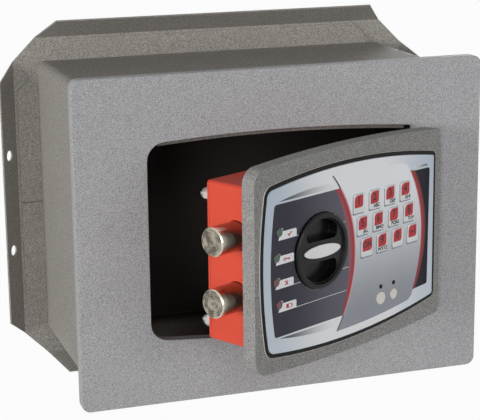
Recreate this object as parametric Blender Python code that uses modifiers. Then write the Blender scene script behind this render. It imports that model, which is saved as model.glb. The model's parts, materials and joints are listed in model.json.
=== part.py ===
"""Wall safe with a keypad door, as separate named pieces.

Metres, +Z up, front toward -Y. The origin is the middle of the rear face.
Depths are measured back from the front face of the plate, with the door shut.
The door pieces hang on an empty at the hinge axis, which is turned to the rest opening.
"""
import math

import bmesh
import bpy
from mathutils import Vector

# Whole safe
PLATE_WIDTH = 0.340
PLATE_HEIGHT = 0.264
PLATE_THICKNESS = 0.010
PLATE_CORNER = 0.007
SEAT_DEPTH = 0.0006
DEPTH = 0.186
CLEARANCE = 0.0003

# Sheet body behind the plate
PLATE_OVERHANG = 0.011
BODY_WALL = 0.0025
BODY_CORNER = 0.008
FLANGE_WIDTH = 0.018
FLANGE_THICKNESS = 0.0018
SEAM_HEIGHT = -0.002
SEAM_GAP = 0.0006

# Rear panel with lips bent forward
PANEL_THICKNESS = 0.0015
PANEL_MARGIN = 0.0205
PANEL_CHAMFER = 0.0205
LIP_OUT = 0.0153
LIP_FORWARD = 0.018
LIP_HOLE = 0.0095
LIP_HOLE_SPACING = 0.084

# Opening and door
FRAME_SIDE = 0.05775
FRAME_TOP = 0.0485
OPENING_BOW = 1.300
OPENING_CORNER = 0.0146
HINGE_CORNER = 0.004
DOOR_GAP = 0.002
DOOR_SIDE_GAP = 0.0028
DOOR_THICKNESS = 0.012
DOOR_ANGLE = math.radians(27.65)
DOOR_RELIEF = 0.0085
RELIEF_START = 0.0013

# Strip behind the plate that the top of the door shuts against
STOP_LIP = 0.005
STOP_BAND = 0.012
STOP_FOOT = 0.008
STOP_LEFT_INSET = 0.0122
STOP_RIGHT_INSET = 0.0042
STOP_THICKNESS = 0.002

# Goose-neck hinge
HINGE_REACH = 0.03325
HINGE_DEPTH = 0.0325
HINGE_SPREAD = 0.048
ARM_HALF_WIDTH = 0.0035
ARM_HEIGHT = 0.015
ARM_STRAIGHT = 0.018
ARM_BEND = 0.027
ARM_FOOT = 0.028
ARM_FOOT_BEND = 0.006
HUB_RADIUS = 0.0085
HUB_HEIGHT = 0.016
PIN_RADIUS = 0.004
LUG_THICKNESS = 0.003

# Control panel on the door
GASKET_MARGIN = 0.0056
GASKET_TOP_MARGIN = 0.01025
GASKET_WIDTH = 0.0033
GASKET_BOW = 0.585
GASKET_SIDE_BOW = 0.330
GASKET_TAPER = 0.0157
GASKET_SHIFT = -0.0009
GASKET_DROP = 0.0008
GASKET_CORNER = 0.010
GASKET_HINGE_CORNER = 0.0055
GASKET_RISE = 0.0008
PANEL_RISE = 0.0015
RECESS_DEPTH = 0.005
BOARD_THICKNESS = 0.001
CABLE_HOLE = 0.010
CABLE_INSET = 0.07945
CABLE_HEIGHT = -0.022

# Keys, lenses and contacts
KEY_WIDTH = 0.0128
KEY_HEIGHT = 0.0149
KEY_CORNER = 0.0016
KEY_RISE = 0.0006
KEY_TRAVEL = 0.0008
KEY_INSET = 0.10395
KEY_TOP = 0.0338
KEY_PITCH = 0.0191
KEY_ROW_PITCH = 0.0181
KEY_STAGGER = 0.0049
KEY_NAMES = (
    ("key_1", "key_2", "key_3", "key_4"),
    ("key_5", "key_6", "key_7", "key_8"),
    ("key_on", "key_9", "key_0", "key_enter"),
)
LENS_RADIUS = 0.003
LENS_INSETS = ((0.02495, 0.0283), (0.02195, 0.0095), (0.02145, -0.0087), (0.02445, -0.0265))
CONTACT_HEIGHT = -0.0477
CONTACT_LARGE_INSET = 0.07640
CONTACT_LARGE_RADIUS = 0.00525
CONTACT_SMALL_INSET = 0.06045
CONTACT_SMALL_RADIUS = 0.0042

# Knob
KNOB_INSET = 0.0707
KNOB_HEIGHT = 0.0057
KNOB_RADIUS = 0.0293
KNOB_RIM = 0.0045
KNOB_RISE = 0.0044
KNOB_FACE = 0.0024
KNOB_REAR = 0.0080
KNOB_LEAN = math.radians(-1.7)
POCKET_RADIUS = 0.0245
POCKET_HALF_WIDTH = 0.0175
POCKET_START = 0.0080
POCKET_DEPTH = 0.0082
BADGE_WIDTH = 0.0405
BADGE_HEIGHT = 0.0098
SPINDLE_RADIUS = 0.005

# Bolt box on the rear of the door
BOX_INSET = 0.010
BOX_HINGE_INSET = 0.0493
BOX_HEIGHT = 0.123
BOX_REAR = 0.057
BOX_WALL = 0.0015
COVER_THICKNESS = 0.0016
NUT_RADIUS = 0.00575
NUT_LENGTH = 0.013
NUT_INSET = 0.007
NUT_SPREAD = 0.049

# Bolt work
BOLT_RADIUS = 0.011
BOLT_SPREAD = 0.0232
BOLT_HEIGHT = 0.001
BOLT_DEPTH = 0.0274
BOLT_OUT = 0.0260
BOLT_LENGTH = 0.074
BOLT_TRAVEL = 0.017
BAR_THICKNESS = 0.0036
BAR_HEIGHT = 0.068
BAR_INSET = 0.015
BAR_WIDTH = 0.057
GUIDE_INSET = 0.0375
GUIDE_THICKNESS = 0.004
GUIDE_WALL = 0.003
BOLT_ROOM = 0.0004
CRANK_RADIUS = 0.017
CRANK_PIN = 0.0029
CAM_THICKNESS = 0.0038

# Solenoid, boards and batteries
PLUNGER_RADIUS = 0.003
CELL_RADIUS = 0.00725
CELL_LENGTH = 0.0505
CELL_PITCH = 0.0147
TRAY_WALL = 0.0012

# Finishes: colour, roughness, metallic
GREY_PAINT = ((0.34, 0.34, 0.33), 0.6, 0.2)
DARK_PAINT = ((0.20, 0.20, 0.19), 0.6, 0.2)
RED_PAINT = ((0.72, 0.09, 0.05), 0.5, 0.0)
STEEL = ((0.62, 0.60, 0.56), 0.3, 1.0)
BLACK_PLASTIC = ((0.01, 0.01, 0.01), 0.35, 0.0)
PALE_PLASTIC = ((0.55, 0.60, 0.64), 0.4, 0.0)
KEY_PLASTIC = ((0.60, 0.62, 0.62), 0.4, 0.0)
WHITE_PLASTIC = ((0.80, 0.80, 0.80), 0.4, 0.0)
GREEN_LENS = ((0.02, 0.25, 0.08), 0.3, 0.0)
RED_LENS = ((0.30, 0.02, 0.03), 0.3, 0.0)
BOARD_GREEN = ((0.02, 0.14, 0.06), 0.5, 0.0)
BRASS = ((0.68, 0.60, 0.40), 0.35, 0.8)

# Sizes that follow from the ones above
FRONT_Y = -DEPTH
OPENING_WIDTH = PLATE_WIDTH - 2 * FRAME_SIDE
OPENING_HEIGHT = PLATE_HEIGHT - 2 * FRAME_TOP
DOOR_WIDTH = OPENING_WIDTH - 2 * DOOR_SIDE_GAP
DOOR_HEIGHT = OPENING_HEIGHT - 2 * DOOR_GAP
LOCK_EDGE = -DOOR_WIDTH / 2
HINGE_EDGE = DOOR_WIDTH / 2
GASKET_HEIGHT = DOOR_HEIGHT - 2 * GASKET_TOP_MARGIN
KEY_LEFT = HINGE_EDGE - KEY_INSET
LENS_PLACES = [(LOCK_EDGE + inset, height) for inset, height in LENS_INSETS]
CONTACT_LARGE = (HINGE_EDGE - CONTACT_LARGE_INSET, CONTACT_HEIGHT, CONTACT_LARGE_RADIUS)
CONTACT_SMALL = (HINGE_EDGE - CONTACT_SMALL_INSET, CONTACT_HEIGHT, CONTACT_SMALL_RADIUS)
HINGE_X = OPENING_WIDTH / 2 + HINGE_REACH
BODY_WIDTH = PLATE_WIDTH - 2 * PLATE_OVERHANG
BODY_HEIGHT = PLATE_HEIGHT - 2 * PLATE_OVERHANG
BODY_REAR = DEPTH - PANEL_THICKNESS - CLEARANCE
BOX_LEFT = LOCK_EDGE + BOX_INSET
BOX_RIGHT = HINGE_EDGE - BOX_HINGE_INSET
BOX_FRONT = DOOR_THICKNESS + CLEARANCE
COVER_FRONT = BOX_REAR - COVER_THICKNESS
KNOB_X = LOCK_EDGE + KNOB_INSET
BAR_FRONT = BOLT_DEPTH + BOLT_RADIUS + CLEARANCE
BAR_LEFT = BOX_LEFT + BAR_INSET
CAM_FRONT = BAR_FRONT + BAR_THICKNESS + 3 * CLEARANCE
PLUNGER_X = KNOB_X - 0.012
PLUNGER_DEPTH = BAR_FRONT + BAR_THICKNESS / 2
BOARD_REAR = RECESS_DEPTH - CLEARANCE
BOARD_FRONT = BOARD_REAR - BOARD_THICKNESS
PANEL_REAR = BOARD_FRONT - CLEARANCE
STRAIGHT = 1000.0

CLOSED_PLACE = {}


def start_scene():
    """Empty the file and make one collection for pieces and one for cutters."""
    for obj in list(bpy.data.objects):
        bpy.data.objects.remove(obj, do_unlink=True)
    for name in ("pieces", "cutters"):
        if name not in bpy.data.collections:
            bpy.context.scene.collection.children.link(bpy.data.collections.new(name))


def attach(obj, place, parent):
    """Set an object at its place for the shut door, under the parent's empty."""
    obj.parent = parent
    origin = CLOSED_PLACE[parent.name] if parent else Vector((0.0, 0.0, 0.0))
    obj.location = Vector(place) - origin


def add_empty(name, place, parent=None):
    """Add an empty on a joint axis."""
    holder = bpy.data.objects.new(name, None)
    bpy.data.collections["pieces"].objects.link(holder)
    attach(holder, place, parent)
    CLOSED_PLACE[name] = Vector(place)
    return holder


def add_object(name, mesh, place, parent, cutter):
    """Link a mesh as a piece, or as a hidden cutter."""
    obj = bpy.data.objects.new(name, mesh)
    bpy.data.collections["cutters" if cutter else "pieces"].objects.link(obj)
    attach(obj, place, parent)
    if cutter:
        obj.hide_render = True
        obj.display_type = "WIRE"
    return obj


def finish(obj, look):
    """Give a piece its own material."""
    colour, roughness, metallic = look
    material = bpy.data.materials.new(obj.name)
    material.use_nodes = True
    shader = material.node_tree.nodes["Principled BSDF"]
    shader.inputs["Base Color"].default_value = (*colour, 1.0)
    shader.inputs["Roughness"].default_value = roughness
    shader.inputs["Metallic"].default_value = metallic
    obj.data.materials.append(material)
    return obj


def outline_mesh(name, loops, thickness):
    """Fill closed loops as a flat solid, centred on its own middle plane."""
    curve = bpy.data.curves.new(name, "CURVE")
    curve.dimensions = "2D"
    curve.fill_mode = "BOTH"
    curve.extrude = thickness / 2
    for loop in loops:
        spline = curve.splines.new("POLY")
        spline.points.add(len(loop) - 1)
        for point, (x, y) in zip(spline.points, loop):
            point.co = (x, y, 0.0, 1.0)
        spline.use_cyclic_u = True
    source = bpy.data.objects.new(name, curve)
    bpy.context.scene.collection.objects.link(source)
    bpy.context.view_layer.update()
    graph = bpy.context.evaluated_depsgraph_get()
    mesh = bpy.data.meshes.new_from_object(source.evaluated_get(graph))
    bpy.data.objects.remove(source, do_unlink=True)
    bpy.data.curves.remove(curve)
    shape = bmesh.new()
    shape.from_mesh(mesh)
    bmesh.ops.remove_doubles(shape, verts=shape.verts, dist=1e-6)
    bmesh.ops.recalc_face_normals(shape, faces=shape.faces)
    shape.to_mesh(mesh)
    shape.free()
    mesh.name = name
    return mesh


def facing_plate(name, loops, front, rear, at=(0.0, 0.0), parent=None, cutter=False):
    """Make a flat piece that faces the front, between two depths."""
    mesh = outline_mesh(name, loops, rear - front)
    place = (at[0], FRONT_Y + (front + rear) / 2, at[1])
    obj = add_object(name, mesh, place, parent, cutter)
    obj.rotation_euler = (math.pi / 2, 0.0, 0.0)
    return obj


def plan_plate(name, loops, low, high, at, parent=None, cutter=False):
    """Make a flat piece that lies level, between two heights. at is (x, depth)."""
    mesh = outline_mesh(name, loops, high - low)
    place = (at[0], FRONT_Y + at[1], (low + high) / 2)
    return add_object(name, mesh, place, parent, cutter)


def block(name, low, high, parent=None, cutter=False):
    """Make a box from two corners given as (x, depth, z)."""
    size = Vector(high) - Vector(low)
    middle = (Vector(high) + Vector(low)) / 2
    mesh = bpy.data.meshes.new(name)
    shape = bmesh.new()
    bmesh.ops.create_cube(shape, size=1.0)
    bmesh.ops.scale(shape, vec=size, verts=shape.verts)
    shape.to_mesh(mesh)
    shape.free()
    return add_object(name, mesh, middle + Vector((0.0, FRONT_Y, 0.0)), parent, cutter)


def rod(name, radius, start, end, parent=None, cutter=False, sides=32):
    """Make a plain cylinder between two points given as (x, depth, z)."""
    run = Vector(end) - Vector(start)
    middle = (Vector(end) + Vector(start)) / 2
    mesh = bpy.data.meshes.new(name)
    shape = bmesh.new()
    bmesh.ops.create_cone(
        shape, cap_ends=True, segments=sides, radius1=radius, radius2=radius, depth=run.length
    )
    shape.to_mesh(mesh)
    shape.free()
    obj = add_object(name, mesh, middle + Vector((0.0, FRONT_Y, 0.0)), parent, cutter)
    obj.rotation_euler = run.to_track_quat("Z", "Y").to_euler()
    return obj


def turned(name, profile, start, direction, parent=None, steps=32):
    """Spin a profile of (radius, distance) about an axis that starts at (x, depth, z)."""
    mesh = bpy.data.meshes.new(name)
    edges = [(i, i + 1) for i in range(len(profile) - 1)]
    mesh.from_pydata([(radius, 0.0, along) for radius, along in profile], edges, [])
    obj = add_object(name, mesh, Vector(start) + Vector((0.0, FRONT_Y, 0.0)), parent, False)
    obj.rotation_euler = Vector(direction).to_track_quat("Z", "Y").to_euler()
    spin = obj.modifiers.new("spin", "SCREW")
    spin.steps = steps
    spin.render_steps = steps
    spin.use_merge_vertices = True
    spin.merge_threshold = 1e-6
    spin.use_normal_calculate = True
    return obj


def boolean(obj, other, operation):
    """Cut or join with another object, which is kept out of the build."""
    step = obj.modifiers.new(other.name, "BOOLEAN")
    step.operation = operation
    step.solver = "EXACT"
    step.object = other


def cut(obj, other):
    boolean(obj, other, "DIFFERENCE")


def join(obj, other):
    boolean(obj, other, "UNION")


def soften(obj, width, segments=1):
    """Bevel the sharp edges of a piece."""
    step = obj.modifiers.new("soften", "BEVEL")
    step.width = width
    step.segments = segments
    step.limit_method = "ANGLE"
    step.angle_limit = math.radians(50)


def arc(centre, radius, start, end, steps):
    """List points along an arc, both ends included."""
    points = []
    for i in range(steps + 1):
        angle = start + (end - start) * i / steps
        points.append((centre[0] + radius * math.cos(angle), centre[1] + radius * math.sin(angle)))
    return points


def circle(centre, radius, sides):
    """List points round a circle."""
    return arc(centre, radius, 0.0, 2 * math.pi, sides)[:-1]


def rounded_rectangle(width, height, corner, steps=5, at=(0.0, 0.0)):
    """List points round a rectangle with rounded corners."""
    x = width / 2 - corner
    y = height / 2 - corner
    points = []
    for turn, (sign_x, sign_y) in enumerate(((1, 1), (-1, 1), (-1, -1), (1, -1))):
        centre = (at[0] + sign_x * x, at[1] + sign_y * y)
        points += arc(centre, corner, turn * math.pi / 2, (turn + 1) * math.pi / 2, steps)
    return points


def fillet_centre(half_width, half_height, bow, side_bow, corner):
    """Find the centre of a corner that touches a bowed side and a bowed top from inside."""
    top_y = half_height - bow
    side_x = half_width - side_bow
    x = half_width - corner
    y = half_height - corner
    for _ in range(60):
        x = side_x + math.sqrt((side_bow - corner) ** 2 - y * y)
        y = top_y + math.sqrt((bow - corner) ** 2 - x * x)
    return x, y, math.atan2(y, x - side_x), math.atan2(y - top_y, x)


def barrel(half_width, half_height, bow, side_bows, corners, steps=16, side_steps=1):
    """List points round a barrel outline: bowed top and bottom, left and right sides bowed or straight."""
    points = []
    tops = []
    for sign_x, side_bow, corner in ((1, side_bows[1], corners[1]), (-1, side_bows[0], corners[0])):
        x, y, low, high = fillet_centre(half_width, half_height, bow, side_bow, corner)
        run = arc((x, y), corner, low, high, 6)
        tops.append(([(sign_x * px, py) for px, py in run], low, high))
    right, left = tops
    top_centre = (0.0, half_height - bow)
    top = arc(top_centre, bow, right[2], math.pi - left[2], steps)[1:-1]
    middle_x = side_bows[0] - half_width
    left_side = arc((middle_x, 0.0), side_bows[0], math.pi - left[1], math.pi + left[1], side_steps)
    middle_x = half_width - side_bows[1]
    right_side = arc((middle_x, 0.0), side_bows[1], -right[1], right[1], side_steps)
    points += right[0] + top + left[0][::-1]
    points += left_side[1:-1]
    points += [(px, -py) for px, py in left[0] + top[::-1] + right[0][::-1]]
    points += right_side[1:-1]
    return points


def ribbon(path, half_width):
    """List points round a strip of even width that follows a path."""
    left = []
    right = []
    for i, point in enumerate(path):
        before = Vector(path[max(i - 1, 0)])
        after = Vector(path[min(i + 1, len(path) - 1)])
        run = (after - before).normalized()
        side = Vector((-run.y, run.x)) * half_width
        left.append(tuple(Vector(point) + side))
        right.append(tuple(Vector(point) - side))
    return left + right[::-1]


def capsule(start, end, start_radius, end_radius, steps=10):
    """List points round a lever with two round ends."""
    run = Vector(end) - Vector(start)
    heading = math.atan2(run.y, run.x)
    lean = math.acos((start_radius - end_radius) / run.length)
    points = arc(end, end_radius, heading - lean, heading + lean, steps)
    points += arc(start, start_radius, heading + lean, heading + 2 * math.pi - lean, steps)
    return points


def turn_points(points, angle):
    """Turn a list of points about zero."""
    c = math.cos(angle)
    s = math.sin(angle)
    return [(x * c - y * s, x * s + y * c) for x, y in points]


def gasket_outline(inset):
    """List points round the control panel area, lower on the hinge side, drawn in by an inset."""
    points = barrel(
        HINGE_EDGE - GASKET_MARGIN - inset,
        GASKET_HEIGHT / 2 - inset,
        GASKET_BOW - inset,
        (GASKET_SIDE_BOW - inset, STRAIGHT),
        (GASKET_CORNER - inset, max(GASKET_HINGE_CORNER - inset, 0.001)),
        steps=20,
        side_steps=12,
    )
    narrowing = GASKET_TAPER / (GASKET_HEIGHT / 2)
    return [(x + GASKET_SHIFT, z * (1.0 - narrowing * x) - GASKET_DROP) for x, z in points]


def opening_outline(side_inset, inset):
    """List points round the opening, drawn in at the sides and all round."""
    return barrel(
        OPENING_WIDTH / 2 - side_inset,
        OPENING_HEIGHT / 2 - inset,
        OPENING_BOW - inset,
        (STRAIGHT, STRAIGHT),
        (OPENING_CORNER - inset, max(HINGE_CORNER - inset, 0.002)),
        steps=20,
    )


def make_front_plate():
    outer = rounded_rectangle(PLATE_WIDTH, PLATE_HEIGHT, PLATE_CORNER)
    plate = facing_plate("front_plate", [outer, opening_outline(0.0, 0.0)], 0.0, PLATE_THICKNESS)
    soften(plate, 0.0007)
    seat_outer = rounded_rectangle(
        BODY_WIDTH + 2 * CLEARANCE, BODY_HEIGHT + 2 * CLEARANCE, BODY_CORNER + CLEARANCE
    )
    wall = BODY_WALL + CLEARANCE
    seat_inner = rounded_rectangle(BODY_WIDTH - 2 * wall, BODY_HEIGHT - 2 * wall, BODY_CORNER - wall)
    seat = facing_plate(
        "body_seat",
        [seat_outer, seat_inner],
        PLATE_THICKNESS - SEAT_DEPTH,
        PLATE_THICKNESS + 0.001,
        cutter=True,
    )
    cut(plate, seat)
    finish(plate, GREY_PAINT)


def make_body_wrapper():
    outer = rounded_rectangle(BODY_WIDTH, BODY_HEIGHT, BODY_CORNER)
    inner = rounded_rectangle(
        BODY_WIDTH - 2 * BODY_WALL, BODY_HEIGHT - 2 * BODY_WALL, BODY_CORNER - BODY_WALL
    )
    body_front = PLATE_THICKNESS - SEAT_DEPTH + CLEARANCE
    body = facing_plate("body_wrapper", [outer, inner], body_front, BODY_REAR)
    root = BODY_WALL / 2
    for name, reach, half in (
        ("right", BODY_WIDTH / 2, BODY_HEIGHT / 2 - BODY_CORNER),
        ("left", BODY_WIDTH / 2, BODY_HEIGHT / 2 - BODY_CORNER),
        ("top", BODY_HEIGHT / 2, BODY_WIDTH / 2 - BODY_CORNER),
        ("bottom", BODY_HEIGHT / 2, BODY_WIDTH / 2 - BODY_CORNER),
    ):
        strip = [
            (reach - root, -half),
            (reach, -half),
            (reach + FLANGE_WIDTH, FLANGE_WIDTH - half),
            (reach + FLANGE_WIDTH, half - FLANGE_WIDTH),
            (reach, half),
            (reach - root, half),
        ]
        turn = {"right": 0.0, "top": 0.5, "left": 1.0, "bottom": 1.5}[name] * math.pi
        loop = turn_points(strip, turn)
        join(body, facing_plate("strip_" + name, [loop], BODY_REAR - FLANGE_THICKNESS, BODY_REAR, cutter=True))
    seam = block(
        "seam_slit",
        (-BODY_WIDTH / 2 - FLANGE_WIDTH - 0.001, BODY_REAR - 0.004, SEAM_HEIGHT - SEAM_GAP / 2),
        (-BODY_WIDTH / 2 - 0.0005, BODY_REAR + 0.001, SEAM_HEIGHT + SEAM_GAP / 2),
        cutter=True,
    )
    cut(body, seam)
    finish(body, GREY_PAINT)


def make_back_panel():
    half_x = BODY_WIDTH / 2 + PANEL_MARGIN
    half_z = BODY_HEIGHT / 2 + PANEL_MARGIN
    x = half_x - PANEL_CHAMFER
    z = half_z - PANEL_CHAMFER
    corners = [(x, half_z), (-x, half_z), (-half_x, z), (-half_x, -z)]
    corners += [(-x, -half_z), (x, -half_z), (half_x, -z), (half_x, z)]
    shape = bmesh.new()
    sheet = [shape.verts.new((px, 0.0, pz)) for px, pz in corners]
    shape.faces.new(sheet)
    for first, out in ((0, (0, 1)), (2, (-1, 0)), (4, (0, -1)), (6, (1, 0))):
        start = sheet[first]
        end = sheet[first + 1]
        along = (end.co - start.co).normalized()
        lift = Vector((out[0] * LIP_OUT, -LIP_FORWARD, out[1] * LIP_OUT))
        far_start = shape.verts.new(start.co + lift + along * LIP_OUT)
        far_end = shape.verts.new(end.co + lift - along * LIP_OUT)
        shape.faces.new((end, start, far_start, far_end))
    bmesh.ops.recalc_face_normals(shape, faces=shape.faces)
    shape.normal_update()
    shape.faces.ensure_lookup_table()
    if shape.faces[0].normal.y < 0.0:
        bmesh.ops.reverse_faces(shape, faces=shape.faces)
    mesh = bpy.data.meshes.new("back_panel")
    shape.to_mesh(mesh)
    shape.free()
    panel = add_object("back_panel", mesh, (0.0, 0.0, 0.0), None, False)
    thick = panel.modifiers.new("sheet", "SOLIDIFY")
    thick.thickness = PANEL_THICKNESS
    thick.offset = -1.0
    thick.use_even_offset = True
    for side in (-1, 1):
        for height in (-LIP_HOLE_SPACING / 2, LIP_HOLE_SPACING / 2):
            middle = Vector((side * (half_x + 0.57 * LIP_OUT), DEPTH - 0.57 * LIP_FORWARD, height))
            across = Vector((side * LIP_FORWARD, LIP_OUT, 0.0)).normalized() * 0.006
            hole = rod("lip_hole", LIP_HOLE / 2, middle - across, middle + across, cutter=True, sides=16)
            cut(panel, hole)
    finish(panel, DARK_PAINT)


def make_lock_strike():
    edge = -OPENING_WIDTH / 2
    rear = BOLT_DEPTH - BOLT_RADIUS - CLEARANCE
    low = (edge - 0.025, PLATE_THICKNESS + CLEARANCE, -0.045)
    strike = block("lock_strike", low, (edge - 0.002, rear, 0.045))
    soften(strike, 0.0008)
    finish(strike, STEEL)


def make_door_stop():
    """Make the strip, with its lip along the opening's top edge and its foot on the plate's rear."""
    left = STOP_LEFT_INSET - OPENING_WIDTH / 2
    right = OPENING_WIDTH / 2 - STOP_RIGHT_INSET
    bow = OPENING_BOW - STOP_LIP
    first = math.pi / 2 - math.asin(left / bow)
    last = math.pi / 2 - math.asin(right / bow)
    edge = arc((0.0, OPENING_HEIGHT / 2 - OPENING_BOW), bow, first, last, 16)
    top = OPENING_HEIGHT / 2 + STOP_BAND
    front = DOOR_THICKNESS + 2 * CLEARANCE
    stop = facing_plate("door_stop", [edge + [(right, top), (left, top)]], front, front + STOP_THICKNESS)
    foot = block(
        "stop_foot",
        (left, PLATE_THICKNESS + CLEARANCE, top - STOP_FOOT),
        (right, front + STOP_THICKNESS / 2, top),
        cutter=True,
    )
    join(stop, foot)
    finish(stop, GREY_PAINT)


def make_hinges(door):
    """Make the fixed brackets and pins, and the arms that swing with the door."""
    half = HUB_HEIGHT / 2
    lug = half + CLEARANCE + LUG_THICKNESS
    base = PLATE_THICKNESS + CLEARANCE - HINGE_DEPTH
    foot = DOOR_THICKNESS + CLEARANCE + ARM_HALF_WIDTH - HINGE_DEPTH
    nose = [(0.009, base), (0.009, 0.0)]
    nose += arc((0.0, 0.0), 0.009, 0.0, math.pi, 12)[1:]
    nose += [(-0.009, base)]
    path = [(0.0, 0.0), (0.0, ARM_STRAIGHT / 2)]
    path += arc((-ARM_BEND, ARM_STRAIGHT), ARM_BEND, 0.0, math.pi, 18)
    path += arc(
        (-2 * ARM_BEND - ARM_FOOT_BEND, foot + ARM_FOOT_BEND), ARM_FOOT_BEND, 0.0, -math.pi / 2, 6
    )
    path += [(-2 * ARM_BEND - ARM_FOOT, foot)]
    axis = (HINGE_X, HINGE_DEPTH)
    for side, z in (("upper", HINGE_SPREAD), ("lower", -HINGE_SPREAD)):
        bracket = plan_plate("hinge_bracket_" + side, [nose], z - lug, z + lug, axis)
        slot = block(
            "bracket_slot",
            (HINGE_X - 0.012, PLATE_THICKNESS + 0.004, z - half - CLEARANCE),
            (HINGE_X + 0.012, HINGE_DEPTH + 0.012, z + half + CLEARANCE),
            cutter=True,
        )
        bore = rod(
            "bracket_bore",
            PIN_RADIUS + CLEARANCE,
            (*axis, z - 0.03),
            (*axis, z + 0.03),
            cutter=True,
            sides=24,
        )
        cut(bracket, slot)
        cut(bracket, bore)
        finish(bracket, DARK_PAINT)
        top = 2 * lug + CLEARANCE
        pin_profile = [
            (0.0, -0.001),
            (PIN_RADIUS - 0.0005, -0.001),
            (PIN_RADIUS, -0.0005),
            (PIN_RADIUS, top),
            (PIN_RADIUS + 0.002, top),
            (PIN_RADIUS + 0.002, top + 0.0015),
            (PIN_RADIUS + 0.0015, top + 0.002),
            (0.0, top + 0.002),
        ]
        pin = turned("hinge_pin_" + side, pin_profile, (*axis, z - lug), (0, 0, 1), steps=16)
        finish(pin, STEEL)
        arm = plan_plate(
            "hinge_arm_" + side,
            [ribbon(path, ARM_HALF_WIDTH)],
            z - ARM_HEIGHT / 2,
            z + ARM_HEIGHT / 2,
            axis,
            door,
        )
        hub = rod("arm_hub", HUB_RADIUS, (*axis, z - half), (*axis, z + half), door, True)
        arm_bore = rod(
            "arm_bore",
            PIN_RADIUS + CLEARANCE,
            (*axis, z - 0.03),
            (*axis, z + 0.03),
            door,
            True,
            24,
        )
        join(arm, hub)
        cut(arm, arm_bore)
        finish(arm, DARK_PAINT)


def make_door_plate(door):
    plate = facing_plate("door_plate", [opening_outline(DOOR_SIDE_GAP, DOOR_GAP)], 0.0, DOOR_THICKNESS, parent=door)
    soften(plate, 0.001)
    recess = facing_plate(
        "door_recess", [gasket_outline(0.0)], -0.01, RECESS_DEPTH, parent=door, cutter=True
    )
    cut(plate, recess)
    knob_middle = (KNOB_X, KNOB_HEIGHT)
    bore = facing_plate(
        "knob_bore",
        [circle((0.0, 0.0), KNOB_RADIUS + 2 * CLEARANCE, 48)],
        RECESS_DEPTH - 0.002,
        KNOB_REAR + 2 * CLEARANCE,
        knob_middle,
        door,
        True,
    )
    cut(plate, bore)
    hole = facing_plate(
        "spindle_hole",
        [circle((0.0, 0.0), SPINDLE_RADIUS + CLEARANCE, 24)],
        KNOB_REAR - 0.001,
        DOOR_THICKNESS + 0.01,
        knob_middle,
        door,
        True,
    )
    cut(plate, hole)
    cable = facing_plate(
        "cable_hole",
        [circle((0.0, 0.0), CABLE_HOLE / 2, 16)],
        RECESS_DEPTH - 0.001,
        DOOR_THICKNESS + 0.01,
        (HINGE_EDGE - CABLE_INSET, CABLE_HEIGHT),
        door,
        True,
    )
    cut(plate, cable)
    slope = DOOR_RELIEF / (DOOR_THICKNESS - RELIEF_START)
    over = DOOR_THICKNESS + 0.005
    start = RELIEF_START - 0.0005
    wedge = [(0.0005 * slope, start), (0.02, start), (0.02, over), ((RELIEF_START - over) * slope, over)]
    relief = plan_plate("door_relief", [wedge], -DOOR_HEIGHT, DOOR_HEIGHT, (HINGE_EDGE, 0.0), door, True)
    cut(plate, relief)
    finish(plate, GREY_PAINT)


def key_places():
    """List every key with its middle."""
    places = []
    for row, names in enumerate(KEY_NAMES):
        for column, name in enumerate(names):
            x = KEY_LEFT + column * KEY_PITCH + row * KEY_STAGGER
            places.append((name, x, KEY_TOP - row * KEY_ROW_PITCH))
    return places


def make_control_panel(door):
    """Make the gasket, the panel with its windows, the board, and the small lenses and contacts."""
    ring = [gasket_outline(CLEARANCE), gasket_outline(GASKET_WIDTH)]
    gasket = facing_plate("panel_gasket", ring, -GASKET_RISE, BOARD_REAR, parent=door)
    finish(gasket, BLACK_PLASTIC)
    rim = gasket_outline(GASKET_WIDTH + CLEARANCE)
    knob_hole = circle((KNOB_X, KNOB_HEIGHT), KNOB_RADIUS + 2 * CLEARANCE, 48)
    windows = [rim, knob_hole]
    for _, x, z in key_places():
        windows.append(
            rounded_rectangle(
                KEY_WIDTH + 2 * CLEARANCE,
                KEY_HEIGHT + 2 * CLEARANCE,
                KEY_CORNER + CLEARANCE,
                3,
                (x, z),
            )
        )
    for x, z in LENS_PLACES:
        windows.append(circle((x, z), LENS_RADIUS + CLEARANCE, 16))
    for x, z, radius in (CONTACT_LARGE, CONTACT_SMALL):
        windows.append(circle((x, z), radius + CLEARANCE, 24))
    panel = facing_plate("control_panel", windows, -PANEL_RISE, PANEL_REAR, parent=door)
    finish(panel, PALE_PLASTIC)
    board = facing_plate("keypad_board", [rim, knob_hole], BOARD_FRONT, BOARD_REAR, parent=door)
    finish(board, BOARD_GREEN)
    for i, (x, z) in enumerate(LENS_PLACES):
        loop = circle((0.0, 0.0), LENS_RADIUS, 16)
        lens = facing_plate("lens_%d" % (i + 1), [loop], -PANEL_RISE - 0.0003, PANEL_REAR, (x, z), door)
        finish(lens, GREEN_LENS if i < 2 else RED_LENS)
    for name, (x, z, radius) in (("contact_large", CONTACT_LARGE), ("contact_small", CONTACT_SMALL)):
        loop = circle((0.0, 0.0), radius, 24)
        contact = facing_plate(name, [loop], -PANEL_RISE - 0.0006, PANEL_REAR, (x, z), door)
        soften(contact, 0.0003)
        finish(contact, BRASS)


def make_keys(door):
    for name, x, z in key_places():
        holder = add_empty(name + "_press", (x, FRONT_Y, z), door)
        loop = rounded_rectangle(KEY_WIDTH, KEY_HEIGHT, KEY_CORNER, 3)
        rear = PANEL_REAR - KEY_TRAVEL
        key = facing_plate(name, [loop], -PANEL_RISE - KEY_RISE, rear, (x, z), holder)
        soften(key, 0.0004)
        finish(key, KEY_PLASTIC)


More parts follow.
